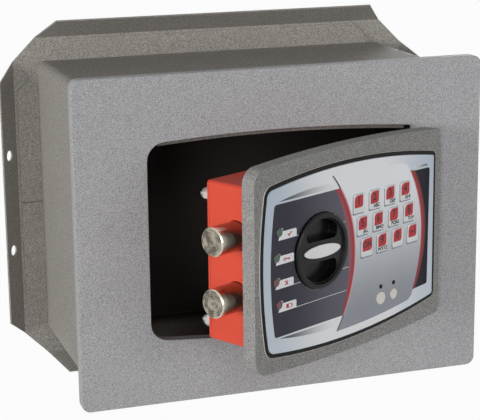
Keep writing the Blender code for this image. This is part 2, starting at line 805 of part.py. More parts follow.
def pocket_outline(side):
    """List points round one finger pocket of the knob, above (1) or below (-1) the grip."""
    corner = 0.004
    x = POCKET_HALF_WIDTH
    low = POCKET_START
    start = math.acos(x / POCKET_RADIUS)
    points = arc((x - corner, low + corner), corner, -math.pi / 2, 0.0, 4)
    points += arc((0.0, 0.0), POCKET_RADIUS, start, math.pi - start, 14)
    points += arc((corner - x, low + corner), corner, math.pi, 1.5 * math.pi, 4)
    points = [(px, side * py) for px, py in points]
    return turn_points(points, KNOB_LEAN)


def make_knob(knob_axis):
    middle = (KNOB_X, KNOB_HEIGHT)
    rim = KNOB_RADIUS - KNOB_RIM
    profile = [
        (0.0, 0.0),
        (KNOB_RADIUS - 0.0005, 0.0),
        (KNOB_RADIUS, 0.0005),
        (KNOB_RADIUS, KNOB_REAR + KNOB_RISE - 0.0012),
        (KNOB_RADIUS - 0.0004, KNOB_REAR + KNOB_RISE - 0.0004),
        (KNOB_RADIUS - 0.0012, KNOB_REAR + KNOB_RISE),
        (rim + 0.0008, KNOB_REAR + KNOB_RISE),
        (rim, KNOB_REAR + KNOB_FACE),
        (0.0, KNOB_REAR + KNOB_FACE),
    ]
    knob = turned(
        "knob", profile, (KNOB_X, KNOB_REAR, KNOB_HEIGHT), (0, -1, 0), knob_axis, steps=56
    )
    for side in (1, -1):
        pocket = facing_plate(
            "finger_pocket",
            [pocket_outline(side)],
            -0.02,
            POCKET_DEPTH - KNOB_FACE,
            middle,
            knob_axis,
            True,
        )
        cut(knob, pocket)
    finish(knob, BLACK_PLASTIC)
    oval = [(x * BADGE_WIDTH / 2, y * BADGE_HEIGHT / 2) for x, y in circle((0.0, 0.0), 1.0, 40)]
    badge = facing_plate(
        "knob_badge",
        [turn_points(oval, KNOB_LEAN)],
        -KNOB_FACE - CLEARANCE - 0.001,
        -KNOB_FACE - CLEARANCE,
        middle,
        knob_axis,
    )
    soften(badge, 0.0003)
    finish(badge, WHITE_PLASTIC)
    spindle = rod(
        "knob_spindle",
        SPINDLE_RADIUS,
        (KNOB_X, KNOB_REAR + CLEARANCE, KNOB_HEIGHT),
        (KNOB_X, CAM_FRONT + CAM_THICKNESS + 0.002, KNOB_HEIGHT),
        knob_axis,
        sides=24,
    )
    finish(spindle, STEEL)
    pin_at = (-CRANK_RADIUS / 2, CRANK_RADIUS * math.sqrt(3.0) / 2)
    lever = capsule((0.0, 0.0), pin_at, 0.010, CRANK_PIN + 0.003)
    eye = circle((0.0, 0.0), SPINDLE_RADIUS + CLEARANCE, 24)
    cam = facing_plate(
        "bolt_cam", [lever, eye], CAM_FRONT, CAM_FRONT + CAM_THICKNESS, middle, knob_axis
    )
    pin_x = KNOB_X + pin_at[0]
    pin_z = KNOB_HEIGHT + pin_at[1]
    pin = rod(
        "crank_pin",
        CRANK_PIN,
        (pin_x, BAR_FRONT + CLEARANCE, pin_z),
        (pin_x, CAM_FRONT + 0.001, pin_z),
        knob_axis,
        True,
        20,
    )
    join(cam, pin)
    finish(cam, STEEL)


def make_bolt_box(door):
    width = BOX_RIGHT - BOX_LEFT
    middle = ((BOX_LEFT + BOX_RIGHT) / 2, 0.0)
    outer = rounded_rectangle(width, BOX_HEIGHT, 0.003, 4)
    inner = rounded_rectangle(width - 2 * BOX_WALL, BOX_HEIGHT - 2 * BOX_WALL, 0.003 - BOX_WALL, 4)
    box = facing_plate("bolt_box", [outer, inner], BOX_FRONT, COVER_FRONT - CLEARANCE, middle, door)
    for z in (BOLT_HEIGHT - BOLT_SPREAD, BOLT_HEIGHT + BOLT_SPREAD):
        hole = rod(
            "box_bolt_hole",
            BOLT_RADIUS + BOLT_ROOM,
            (BOX_LEFT - 0.01, BOLT_DEPTH, z),
            (BOX_LEFT + 0.01, BOLT_DEPTH, z),
            door,
            True,
        )
        cut(box, hole)
    finish(box, RED_PAINT)
    cover = facing_plate("box_cover", [outer], COVER_FRONT, BOX_REAR, middle, door)
    finish(cover, RED_PAINT)
    base = BOX_REAR + CLEARANCE
    crown = NUT_RADIUS - 0.0008
    profile = [(0.0, 0.0), (NUT_RADIUS, 0.0), (NUT_RADIUS, NUT_LENGTH * 0.45), (crown, NUT_LENGTH * 0.5)]
    for radius, along in arc((0.0, NUT_LENGTH * 0.5), 1.0, 0.0, math.pi / 2, 5)[1:-1]:
        profile.append((radius * crown, NUT_LENGTH * 0.5 + (along - NUT_LENGTH * 0.5) * NUT_LENGTH * 0.5))
    profile.append((0.0, NUT_LENGTH))
    corners = [(BOX_LEFT + NUT_INSET, NUT_SPREAD), (BOX_LEFT + NUT_INSET, -NUT_SPREAD)]
    corners += [(BOX_RIGHT - NUT_INSET, NUT_SPREAD), (BOX_RIGHT - NUT_INSET, -NUT_SPREAD)]
    for i, (x, z) in enumerate(corners):
        nut = turned("dome_nut_%d" % (i + 1), profile, (x, base, z), (0, 1, 0), door, 14)
        finish(nut, STEEL)


def make_bolt_work(door, bolt_axis):
    tip = BOX_LEFT - BOLT_OUT
    profile = [
        (0.0, 0.0),
        (BOLT_RADIUS - 0.0005, 0.0),
        (BOLT_RADIUS, 0.0005),
        (BOLT_RADIUS, BOLT_LENGTH - 0.001),
        (BOLT_RADIUS - 0.001, BOLT_LENGTH),
        (0.0, BOLT_LENGTH),
    ]
    for name, z in (("bolt_upper", BOLT_HEIGHT + BOLT_SPREAD), ("bolt_lower", BOLT_HEIGHT - BOLT_SPREAD)):
        bolt = turned(name, profile, (tip + BOLT_LENGTH, BOLT_DEPTH, z), (-1, 0, 0), bolt_axis, 40)
        finish(bolt, STEEL)
    half = BAR_HEIGHT / 2
    right = BAR_LEFT + BAR_WIDTH
    notch = 0.004
    outline = [(BAR_LEFT, half), (BAR_LEFT, -half)]
    for x in (PLUNGER_X - BOLT_TRAVEL, PLUNGER_X):
        outline += [(x - notch, -half), (x - notch, 0.004 - half)]
        outline += [(x + notch, 0.004 - half), (x + notch, -half)]
    outline += [(right, -half), (right, half)]
    shaft = SPINDLE_RADIUS + 0.001
    slot_left = (KNOB_X - BOLT_TRAVEL, KNOB_HEIGHT)
    slot_right = (KNOB_X, KNOB_HEIGHT)
    shaft_slot = arc(slot_right, shaft, -math.pi / 2, math.pi / 2, 10)
    shaft_slot += arc(slot_left, shaft, math.pi / 2, 1.5 * math.pi, 10)
    pin_x = KNOB_X - CRANK_RADIUS / 2
    pin_low = KNOB_HEIGHT + CRANK_RADIUS * math.sqrt(3.0) / 2
    pin_high = KNOB_HEIGHT + CRANK_RADIUS
    pin_room = CRANK_PIN + 0.0005
    pin_slot = arc((pin_x, pin_high), pin_room, 0.0, math.pi, 10)
    pin_slot += arc((pin_x, pin_low), pin_room, math.pi, 2 * math.pi, 10)
    loops = [outline, shaft_slot, pin_slot]
    bar = facing_plate("bolt_bar", loops, BAR_FRONT, BAR_FRONT + BAR_THICKNESS, parent=bolt_axis)
    finish(bar, STEEL)
    guide_left = BOX_LEFT + GUIDE_INSET
    reach = BOLT_SPREAD + BOLT_RADIUS + GUIDE_WALL
    guide = block(
        "bolt_guide",
        (guide_left, BOX_FRONT, BOLT_HEIGHT - reach),
        (guide_left + GUIDE_THICKNESS, BAR_FRONT - 0.0017, BOLT_HEIGHT + reach),
        door,
    )
    for z in (BOLT_HEIGHT - BOLT_SPREAD, BOLT_HEIGHT + BOLT_SPREAD):
        hole = rod(
            "guide_hole",
            BOLT_RADIUS + BOLT_ROOM,
            (guide_left - 0.01, BOLT_DEPTH, z),
            (guide_left + 0.02, BOLT_DEPTH, z),
            door,
            True,
        )
        cut(guide, hole)
    finish(guide, STEEL)


def make_solenoid(door, plunger_axis):
    floor = -BOX_HEIGHT / 2 + BOX_WALL + CLEARANCE
    top = -BAR_HEIGHT / 2 - 0.0055
    body = block(
        "solenoid_body",
        (PLUNGER_X - 0.012, PLUNGER_DEPTH - 0.011, floor),
        (PLUNGER_X + 0.012, PLUNGER_DEPTH + 0.011, top),
        door,
    )
    soften(body, 0.001)
    tip = -BAR_HEIGHT / 2 - 0.0025
    low = floor + 0.0045
    bore = rod(
        "plunger_bore",
        PLUNGER_RADIUS + CLEARANCE,
        (PLUNGER_X, PLUNGER_DEPTH, low - CLEARANCE),
        (PLUNGER_X, PLUNGER_DEPTH, top + 0.01),
        door,
        True,
        24,
    )
    cut(body, bore)
    finish(body, BLACK_PLASTIC)
    plunger = rod(
        "solenoid_plunger",
        PLUNGER_RADIUS,
        (PLUNGER_X, PLUNGER_DEPTH, low),
        (PLUNGER_X, PLUNGER_DEPTH, tip),
        plunger_axis,
        sides=24,
    )
    finish(plunger, STEEL)


def make_electrics(door):
    ceiling = BOX_HEIGHT / 2 - BOX_WALL
    right = BOX_RIGHT - BOX_WALL - 2 * CLEARANCE
    board = block(
        "circuit_board",
        (right - 0.052, BOX_FRONT + 0.0001, -ceiling + 0.006),
        (right - 0.002, BOX_FRONT + 0.0017, -0.008),
        door,
    )
    finish(board, BOARD_GREEN)
    tray_rear = COVER_FRONT - CLEARANCE
    tray_floor = tray_rear - TRAY_WALL
    tray_width = 4 * CELL_PITCH + 2 * TRAY_WALL
    tray_top = ceiling - 0.002
    tray_low = tray_top - CELL_LENGTH - 4 * CLEARANCE - 2 * TRAY_WALL
    tray = block(
        "battery_holder",
        (right - tray_width, tray_rear - 0.016, tray_low),
        (right, tray_rear, tray_top),
        door,
    )
    well = block(
        "battery_well",
        (right - tray_width + TRAY_WALL, tray_rear - 0.03, tray_low + TRAY_WALL),
        (right - TRAY_WALL, tray_floor, tray_top - TRAY_WALL),
        door,
        True,
    )
    cut(tray, well)
    finish(tray, BLACK_PLASTIC)
    nub = 0.0026
    profile = [
        (0.0, 0.0),
        (CELL_RADIUS - 0.0004, 0.0),
        (CELL_RADIUS, 0.0004),
        (CELL_RADIUS, CELL_LENGTH - 0.0019),
        (CELL_RADIUS - 0.0004, CELL_LENGTH - 0.0015),
        (nub, CELL_LENGTH - 0.0015),
        (nub, CELL_LENGTH),
        (0.0, CELL_LENGTH),
    ]
    depth = tray_floor - CLEARANCE - CELL_RADIUS
    low = tray_low + TRAY_WALL + 2 * CLEARANCE
    for i in range(4):
        x = right - TRAY_WALL - (i + 0.5) * CELL_PITCH
        if i % 2:
            cell = turned("battery_%d" % (i + 1), profile, (x, depth, low), (0, 0, 1), door, 14)
        else:
            start = (x, depth, low + CELL_LENGTH)
            cell = turned("battery_%d" % (i + 1), profile, start, (0, 0, -1), door, 14)
        finish(cell, BLACK_PLASTIC)


def main():
    start_scene()
    make_front_plate()
    make_body_wrapper()
    make_back_panel()
    make_lock_strike()
    make_door_stop()
    door = add_empty("door_hinge", (HINGE_X, FRONT_Y + HINGE_DEPTH, 0.0))
    door.rotation_euler = (0.0, 0.0, DOOR_ANGLE)
    knob_axis = add_empty("knob_axis", (KNOB_X, FRONT_Y, KNOB_HEIGHT), door)
    bolt_axis = add_empty("bolt_axis", (BOX_LEFT, FRONT_Y + BOLT_DEPTH, 0.0), door)
    plunger_place = (PLUNGER_X, FRONT_Y + PLUNGER_DEPTH, -BAR_HEIGHT / 2)
    plunger_axis = add_empty("plunger_axis", plunger_place, door)
    make_hinges(door)
    make_door_plate(door)
    make_control_panel(door)
    make_keys(door)
    make_knob(knob_axis)
    make_bolt_box(door)
    make_bolt_work(door, bolt_axis)
    make_solenoid(door, plunger_axis)
    make_electrics(door)


main()
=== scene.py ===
"""Looks for a wall safe with a keypad door: finishes, printed panel and studio.

The file is laid out as an add-on and is run as a script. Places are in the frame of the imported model, in
metres; outlines on the door are in mm. Door pieces are drawn with the door shut and then turned to the
opening that the model rests at.
"""
import json
import math

import bmesh
import bpy
from bpy.props import FloatProperty, FloatVectorProperty, PointerProperty
from mathutils import Matrix, Vector


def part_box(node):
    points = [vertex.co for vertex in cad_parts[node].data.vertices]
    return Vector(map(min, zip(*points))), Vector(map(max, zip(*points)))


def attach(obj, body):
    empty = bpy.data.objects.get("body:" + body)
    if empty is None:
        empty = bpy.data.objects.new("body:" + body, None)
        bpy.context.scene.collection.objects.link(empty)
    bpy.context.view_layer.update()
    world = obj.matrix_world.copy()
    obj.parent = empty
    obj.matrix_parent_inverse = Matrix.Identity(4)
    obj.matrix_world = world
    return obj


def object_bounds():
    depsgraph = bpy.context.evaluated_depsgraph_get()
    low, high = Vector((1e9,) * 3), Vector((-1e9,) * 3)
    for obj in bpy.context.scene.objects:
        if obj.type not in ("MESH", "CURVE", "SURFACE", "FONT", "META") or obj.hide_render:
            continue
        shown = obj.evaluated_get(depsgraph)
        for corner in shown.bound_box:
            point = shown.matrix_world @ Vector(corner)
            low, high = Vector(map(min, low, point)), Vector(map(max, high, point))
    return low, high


bl_info = {
    "name": "Wall safe looks",
    "version": (1, 0, 0),
    "blender": (4, 5, 0),
    "location": "View3D > Sidebar > Safe",
    "description": "Finishes, printed panel and studio for a packed wall safe",
    "category": "Object",
}

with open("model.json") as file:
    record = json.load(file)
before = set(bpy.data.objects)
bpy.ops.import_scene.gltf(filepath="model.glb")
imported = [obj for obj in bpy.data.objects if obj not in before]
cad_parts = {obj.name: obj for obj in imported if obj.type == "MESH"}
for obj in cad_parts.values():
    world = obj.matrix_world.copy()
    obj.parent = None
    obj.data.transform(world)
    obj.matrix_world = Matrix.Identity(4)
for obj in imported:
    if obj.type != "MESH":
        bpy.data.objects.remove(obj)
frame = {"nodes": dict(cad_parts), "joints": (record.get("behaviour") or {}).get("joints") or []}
CAD_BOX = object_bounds()

MM = 0.001
LONG_SIDE = 6.0 * MM
ARC_STEPS = 20
CORNER_STEPS = 5
KEYS = ("1", "2", "3", "4", "5", "6", "7", "8", "on", "9", "0", "enter")
KEY_LETTERS = {
    "2": "ABC", "3": "DEF", "4": "GHI", "5": "JKL", "6": "MNO", "7": "PQRS", "8": "TUV", "9": "WXYZ",
}
FONT_SIZE_PER_HEIGHT = 1.40
WELD = 1e-6
FINE_WELD = 1e-7
# Rules and windows on the panel, in mm.
WINDOW_ROOM = 0.35
RULE_HEIGHTS = (22.6, 4.4, -13.9, -32.0)
RULE_START = 18.0
RULE_GAP = 0.2
SHORTEST_RULE = 0.4
# The ring's pale highlight lip and the sensors, in metres.
LIP_THICK = 0.00028
LIP_DROP = 0.0001
SENSOR_RISE = 0.0093
SENSOR_TOP = -0.00055
SENSOR_PROFILE = (
    (0.0007, -0.0005), (0.0012, -0.0003), (0.0014, -0.00045), (0.0017, -0.0004), (0.0018, 0.0), (0.0, 0.0),
)
LAMP_PLACES = {
    "front": (-1.20, -2.05, 0.33),
    "high": (-0.36, -2.12, 1.08),
    "side": (-2.25, -0.73, 0.20),
    "right": (1.13, -1.95, 0.24),
    "rear": (1.40, 1.95, 0.06),
}
WHITE = (1.0, 1.0, 1.0, 1.0)
FLOOR_RADIUS = 14.0
FLOOR_DROP = 0.0005
FLOOR_GLOW = 0.96


def srgb(red, green, blue):
    """Turn a colour written as 0 to 255 into the linear values that nodes take."""
    values = []
    for part in (red, green, blue):
        share = part / 255.0
        values.append(share / 12.92 if share <= 0.04045 else ((share + 0.055) / 1.055) ** 2.4)
    return tuple(values)


def scaled(tone, share):
    """Make a colour darker or paler by a share, up to white."""
    return tuple(min(1.0, part * share) for part in tone)


def joint(name):
    """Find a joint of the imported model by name."""
    for entry in frame["joints"]:
        if entry["name"] == name:
            return entry
    raise KeyError(name)


SWING = joint("door_swing")
PIVOT = Vector(SWING["pos_m"])
DOOR_ANGLE = -math.radians(SWING["range_deg"][0])
DOOR = Matrix.Translation(PIVOT) @ Matrix.Rotation(DOOR_ANGLE, 4, "Z") @ Matrix.Translation(-PIVOT)


def shut_box(name):
    """Give a door node's lowest and highest corners with the door turned shut."""
    back = DOOR.inverted()
    points = [back @ vertex.co for vertex in frame["nodes"][name].data.vertices]
    low = Vector([min(point[i] for point in points) for i in range(3)])
    high = Vector([max(point[i] for point in points) for i in range(3)])
    return low, high


def shut_middle(name):
    """Give a door node's middle as (x, z) in mm, with the door turned shut."""
    low, high = shut_box(name)
    return (low.x + high.x) / 2 / MM, (low.z + high.z) / 2 / MM


PANEL_FACE = shut_box("control_panel")[0].y
KNOB_LOW, KNOB_HIGH = shut_box("knob")
KNOB_X, KNOB_Z = shut_middle("knob")
KNOB_GAP = 0.7
KNOB_ROOM = (KNOB_HIGH.z - KNOB_LOW.z) / 2 / MM + KNOB_GAP


def colour(name, value, description):
    return FloatVectorProperty(
        name=name, description=description, default=srgb(*value), subtype="COLOR", size=3, min=0.0, max=1.0
    )


def length(name, value, description):
    return FloatProperty(name=name, description=description, default=value, unit="LENGTH", precision=5)


def angle(name, degrees, description):
    return FloatProperty(name=name, description=description, default=math.radians(degrees), subtype="ANGLE")


def strength(name, value, description):
    return FloatProperty(name=name, description=description, default=value, min=0.0)


class SafeColours(bpy.types.PropertyGroup):
    """Colours of the safe's finishes and inks"""

    plate: colour("Plate grey", (163, 163, 165), "Speckled paint of the front plate")
    door: colour("Door grey", (142, 141, 139), "Speckled paint of the door")
    body: colour("Body grey", (147, 143, 137), "Paint of the sheet body and the rear panel")
    # Painted shade: this dark colour stands for the unlit hollow inside the body.
    inside: colour("Inside", (58, 54, 50), "Dark paint inside the body")
    bracket: colour("Bracket", (74, 74, 72), "Paint of the hinge arms and brackets")
    red: colour("Box red", (217, 71, 45), "Satin paint of the bolt box")
    steel: colour("Steel", (176, 168, 154), "Turned and drawn steel")
    nut: colour("Nut steel", (206, 203, 197), "Plated dome nuts")
    black: colour("Knob black", (14, 14, 15), "Plastic of the knob")
    rubber: colour("Rubber", (12, 12, 14), "Rubber ring round the panel")
    # Painted highlight: light caught on the rubber ring's outer flank.
    lip: colour("Ring lip", (240, 235, 224), "Pale flank of the rubber ring")
    silver: colour("Panel silver", (198, 211, 225), "Panel plastic at its two sides")
    white: colour("Panel white", (248, 250, 252), "Panel plastic at its middle")
    field_top: colour("Field top", (247, 250, 254), "Upper end of the middle field")
    field_foot: colour("Field foot", (129, 135, 145), "Lower end of the middle field")
    dark: colour("Dark field", (52, 49, 61), "Outer end of the dark fields")
    dusk: colour("Dusk field", (108, 105, 117), "Inner end of the dark field")
    night: colour("Night field", (26, 24, 34), "Outer end of the dark strip")
    ink_red: colour("Red ink", (196, 40, 52), "Red key pads and signs")
    arc_red: colour("Arc red", (168, 32, 44), "Middle of the red arcs")
    arc_mauve: colour("Arc mauve", (130, 102, 110), "Shaded edge of the left red arc")
    ink_deep: colour("Deep ink", (40, 8, 16), "Dark edge of the right red arc")
    ink_pale: colour("Pale ink", (244, 222, 224), "Pale edge of the red arcs")
    ink_black: colour("Black ink", (16, 10, 14), "Letters and short lines")
    ink_digit: colour("Digit ink", (70, 4, 18), "Digits on the red pads")
    ink_line: colour("Line ink", (112, 122, 138), "Fine shaded edge of the keys")
    key: colour("Key", (240, 242, 243), "Moulded keys")
    tag: colour("Tag", (240, 240, 242), "Pale tags beside the lenses")
    badge: colour("Badge", (248, 248, 248), "Oval badge on the knob")
    contact: colour("Contact", (233, 229, 220), "Contact discs")
    green: colour("Green lens", (34, 104, 66), "Upper two lenses")
    ruby: colour("Red lens", (140, 26, 40), "Lower two lenses")


class SafeSizes(bpy.types.PropertyGroup):
    """Sizes of the printed films and small marks"""

    film: length("Film", 0.00008, "Thickness of a printed film")
    ink: length("Ink", 0.00005, "Thickness of lettering on a film")
    grain: length("Paint grain", 0.0009, "Spacing of the paint's speckle")
    edge: length("Edge", 0.0006, "Radius that edges are shaded with")
    digit: length("Digit", 0.0060, "Height of a key's digit")
    letter: length("Letter", 0.0028, "Height of a key's letters")
    rule: length("Rule", 0.00040, "Height of the fine rules on the dark field")
    flange: length("Flange", 0.018, "Width of the body's rear flange")


class SafeStudio(bpy.types.PropertyGroup):
    """Camera and light"""

    lens: FloatProperty(name="Lens", description="Focal length in mm", default=118.8)
    azimuth: angle("Azimuth", 18.37, "Camera left of the front")
    elevation: angle("Elevation", 13.81, "Camera above the horizon")
    roll: angle("Roll", -0.68, "Camera roll")
    distance: length("Distance", 1.2480, "Camera to its target")
    target: FloatVectorProperty(
        name="Target", description="Point at the picture's middle", size=3, subtype="TRANSLATION",
        default=(-0.0377, -0.186, 0.0210),
    )
    front: strength("Front lamp", 0.98, "Strength of the lamp left of the front")
    high: strength("High lamp", 0.50, "Strength of the raised lamp in front")
    side: strength("Side lamp", 1.95, "Strength of the lamp at the left")
    right: strength("Right lamp", 0.54, "Strength of the lamp at the right")
    rear: strength("Rear lamp", 2.60, "Strength of the lamp behind the safe")
    softness: angle("Softness", 20.0, "Width of the lamps as the safe sees them")
    sky: strength("Sky", 0.06, "Strength of the surrounding light")
    floor: colour("Floor", (236, 236, 236), "Plain pale floor")


class Wire:
    """A node socket, so that shader maths is written as Python."""

    def __init__(self, tree, socket=None):
        self.tree = tree
        self.socket = socket

    def node(self, kind, settings=None, sockets=None, output=0):
        """Add any node from its type, its settings and the values or links of its sockets."""
        made = self.tree.nodes.new(kind)
        for name, value in (settings or {}).items():
            setattr(made, name, value)
        for name, value in (sockets or {}).items():
            if isinstance(value, Wire):
                self.tree.links.new(value.socket, made.inputs[name])
            else:
                made.inputs[name].default_value = value
        return Wire(self.tree, made.outputs[output] if made.outputs else None)

    def math(self, operation, first, second=0.0):
        return self.node("ShaderNodeMath", {"operation": operation}, {0: first, 1: second})

    def __add__(self, other):
        return self.math("ADD", self, other)

    def __sub__(self, other):
        return self.math("SUBTRACT", self, other)

    def __mul__(self, other):
        return self.math("MULTIPLY", self, other)

    def __truediv__(self, other):
        return self.math("DIVIDE", self, other)

    def __pow__(self, other):
        return self.math("POWER", self, other)

    def __radd__(self, other):
        return self.math("ADD", other, self)

    def __rsub__(self, other):
        return self.math("SUBTRACT", other, self)

    def __rmul__(self, other):
        return self.math("MULTIPLY", other, self)

    def __rtruediv__(self, other):
        return self.math("DIVIDE", other, self)

    def __abs__(self):
        return self.math("ABSOLUTE", self)

    def step(self, low, high):
        """Rise smoothly from 0 at low to 1 at high."""
        settings = {"interpolation_type": "SMOOTHSTEP"}
        return self.node("ShaderNodeMapRange", settings, {0: self, 1: low, 2: high})

    def tint(self, first, second):
        """Blend two colours, with this value as the share of the second."""
        sockets = {0: self, 6: solid(first), 7: solid(second)}
        return self.node("ShaderNodeMix", {"data_type": "RGBA"}, sockets, 2)


def solid(value):
    """Give a colour its alpha, and leave a wire as it is."""
    return value if isinstance(value, Wire) else (*value[:3], 1.0)


def start(name):
    """Make an empty node material and give a wire in its tree, with its Object coordinates."""
    material = bpy.data.materials.new(name)
    material.use_nodes = True
    material.node_tree.nodes.clear()
    wire = Wire(material.node_tree)
    place = wire.node("ShaderNodeTexCoord", output="Object")
    return material, place


def surface(place, **sockets):
    """End a material with its Principled shader; the names' underscores stand for spaces."""
    named = {name.replace("_", " "): value for name, value in sockets.items()}
    shader = place.node("ShaderNodeBsdfPrincipled", None, named)
    place.node("ShaderNodeOutputMaterial", None, {"Surface": shader})


def noise(place, spacing, detail=2.0):
    """Give a noise from 0 to 1 whose grains are about spacing apart."""
    sockets = {"Vector": place, "Scale": 1.0 / spacing, "Detail": detail, "Roughness": 0.55}
    return place.node("ShaderNodeTexNoise", None, sockets)


def soft_edges(place, radius):
    """Give normals that round the edges within a radius."""
    return place.node("ShaderNodeBevel", {"samples": 4}, {"Radius": radius})


def relief(place, height, amount, depth, normal):
    """Give normals that follow a height."""
    sockets = {"Strength": amount, "Distance": depth, "Height": height, "Normal": normal}
    return place.node("ShaderNodeBump", None, sockets)


def edge_highlight_mask(place, rounded):
    """Give 1 on an edge and 0 on flats, from how far the rounded normal leans, for painted highlights on
    edges.
    """
    flat = place.node("ShaderNodeNewGeometry", output="Normal")
    lean = place.node("ShaderNodeVectorMath", {"operation": "DOT_PRODUCT"}, {0: rounded, 1: flat}, "Value")
    return (1.0 - lean).step(0.01, 0.25)


def split(vector):
    """Give a vector's three values."""
    apart = vector.node("ShaderNodeSeparateXYZ", None, {0: vector})
    outputs = apart.socket.node.outputs
    return [Wire(vector.tree, outputs[i]) for i in range(3)]


def door_place(place):
    """Give Object coordinates with the door turned shut, measured from the hinge axis."""
    sockets = {"Vector": place, "Location": tuple(PIVOT), "Rotation": (0.0, 0.0, DOOR_ANGLE)}
    return place.node("ShaderNodeMapping", {"vector_type": "TEXTURE"}, sockets)


def speckled_paint(name, tone, sizes, shade=None, inside=None, shine=0.3, contrast=1.1):
    """Textured paint: fine pale and dark grains, a slow drift of tone, painted edge highlights, and painted
    shade by a mask.
    """
    material, place = start(name)
    fine = noise(place, sizes.grain * 0.55, 1.0)
    coarse = noise(place, sizes.grain * 1.1, 1.0)
    drift = noise(place, 0.05)
    rounded = soft_edges(place, sizes.edge)
    grains = (fine * 0.8 + coarse * 0.2).step(0.32, 0.68)
    pale = scaled(tone, 1.0 + 0.44 * contrast)
    paint = grains.tint(scaled(tone, 1.0 - 0.42 * contrast), pale)
    paint = (drift.step(0.2, 0.8) * 0.10).tint(paint, scaled(tone, 0.7))
    # Painted highlight: the edges are tinted paler.
    paint = (edge_highlight_mask(place, rounded) * 0.35).tint(paint, pale)
    # Painted shade: where a mask is given, the paint darkens to the shade colour.
    if inside is not None:
        inner_shade = (grains * 0.6 + 0.2).tint(scaled(shade, 0.7), shade)
        paint = inside(place).tint(paint, inner_shade)
    surface(
        place,
        Base_Color=paint,
        Roughness=0.50 + 0.16 * fine,
        Specular_IOR_Level=shine,
        Normal=relief(place, fine * 0.5 + coarse, 0.22, 0.0002, rounded),
    )
    return material


def facing_inwards(place):
    """Give 1 where shade is painted: on walls that face the body's middle line, and on the floor only at its
    rear.
    """
    normal = split(place.node("ShaderNodeNewGeometry", output="Normal"))
    x, y, z = split(place)
    inner = (0.0 - (normal[0] * x + normal[2] * z)).step(0.004, 0.010)
    floor = normal[2].step(0.4, 0.9) * (1.0 - y.step(-0.040, -0.004))
    return inner * (1.0 - floor)


def inside_window(half_width, half_height):
    """Make a mask of the rear panel's front, within the body, where shade is painted."""

    def mask(place):
        x, y, z = split(place)
        front = (0.0 - y).step(0.0008, 0.0012)
        across = 1.0 - abs(x).step(half_width, half_width + MM)
        upright = 1.0 - abs(z).step(half_height, half_height + MM)
        return front * across * upright

    return mask


def satin_paint(name, tone, sizes):
    """Smooth paint with a faint orange peel and painted highlights on its edges."""
    material, place = start(name)
    peel = noise(place, 0.0025)
    drift = noise(place, 0.04)
    rounded = soft_edges(place, sizes.edge)
    paint = drift.step(0.25, 0.75).tint(scaled(tone, 0.93), tone)
    pale = tuple(min(1.0, part * 1.15 + 0.02) for part in tone)
    # Painted highlight: the edges are tinted paler.
    paint = (edge_highlight_mask(place, rounded) * 0.5).tint(paint, pale)
    surface(
        place,
        Base_Color=paint,
        Roughness=0.40 + 0.12 * peel,
        Specular_IOR_Level=0.4,
        Normal=relief(place, peel, 0.18, 0.0002, rounded),
    )
    return material


def drawn_steel(name, tone, sizes, rough=0.28):
    """Plain bright steel with fine scratches and a slow change of gloss."""
    material, place = start(name)
    streak = place.node("ShaderNodeMapping", None, {"Vector": place, "Scale": (1.0, 1.0, 14.0)})
    lines = noise(streak, 0.004, 3.0)
    drift = noise(place, 0.012)
    rounded = soft_edges(place, sizes.edge)
    surface(
        place,
        Base_Color=lines.tint(scaled(tone, 0.8), tone),
        Metallic=1.0,
        Roughness=rough + 0.14 * drift,
        Normal=relief(place, lines, 0.10, 0.0001, rounded),
    )
    return material


def waves(value, spacing):
    """Give a sine wave along a value, with one crest per spacing."""
    return value.math("SINE", value * (2.0 * math.pi / spacing))


def turned_steel(name, tone, sizes):
    """Bolt steel: rings left by the lathe on the end face, fine rings along the bar, and painted highlights.
    """
    low, high = shut_box("bolt_upper")
    under = shut_box("bolt_lower")
    middle = (high.z + under[0].z) / 2
    spread = (low.z + high.z) / 2 - middle
    deep = (low.y + high.y) / 2 - PIVOT.y
    material, place = start(name)
    x, y, z = split(door_place(place))
    off_z = abs(z - middle) - spread
    off_y = y - deep
    radius = (off_z * off_z + off_y * off_y) ** 0.5
    stain_and_sheen = noise(place, 0.006, 3.0)
    rings = waves(radius + 0.0016 * stain_and_sheen, spacing=0.0017)
    fine = waves(radius, spacing=0.0007)
    hoops = waves(x, spacing=0.00040)
    inwards = x - (low.x - PIVOT.x)
    at_end = 1.0 - inwards.step(0.0004, 0.0007)
    cut = at_end * (rings * 0.7 + fine * 0.5) + (1.0 - at_end) * hoops * 0.45
    pip = 1.0 - radius.step(0.0010, 0.0018)
    rim = radius.step(0.0099, 0.0105)
    rounded = soft_edges(place, sizes.edge)
    bright = scaled(tone, 1.5)
    # Painted highlight and reflection: the bar runs from a pale tone at its tip to a darker tone along it.
    bar = (inwards.step(0.001, 0.007) * 0.8 + 0.2 * stain_and_sheen).tint(bright, scaled(tone, 0.60))
    groove = scaled(tone, 0.18)
    ridge = scaled(tone, 1.05)
    # The end face is blotched and ringed from dark to pale, partly stain and partly painted reflection.
    face = (0.8 * stain_and_sheen.step(0.3, 0.7) + 0.20 * rings + 0.14 * fine).tint(groove, ridge)
    face = (pip * 0.6).tint(face, groove)
    # Painted highlight on the end face's rim.
    face = (rim * 0.85).tint(face, bright)
    surface(
        place,
        Base_Color=at_end.tint(bar, face),
        Metallic=1.0,
        Roughness=0.06 + 0.06 * stain_and_sheen + 0.26 * at_end,
        Normal=relief(place, cut, 0.35, 0.00006, rounded),
    )
    return material


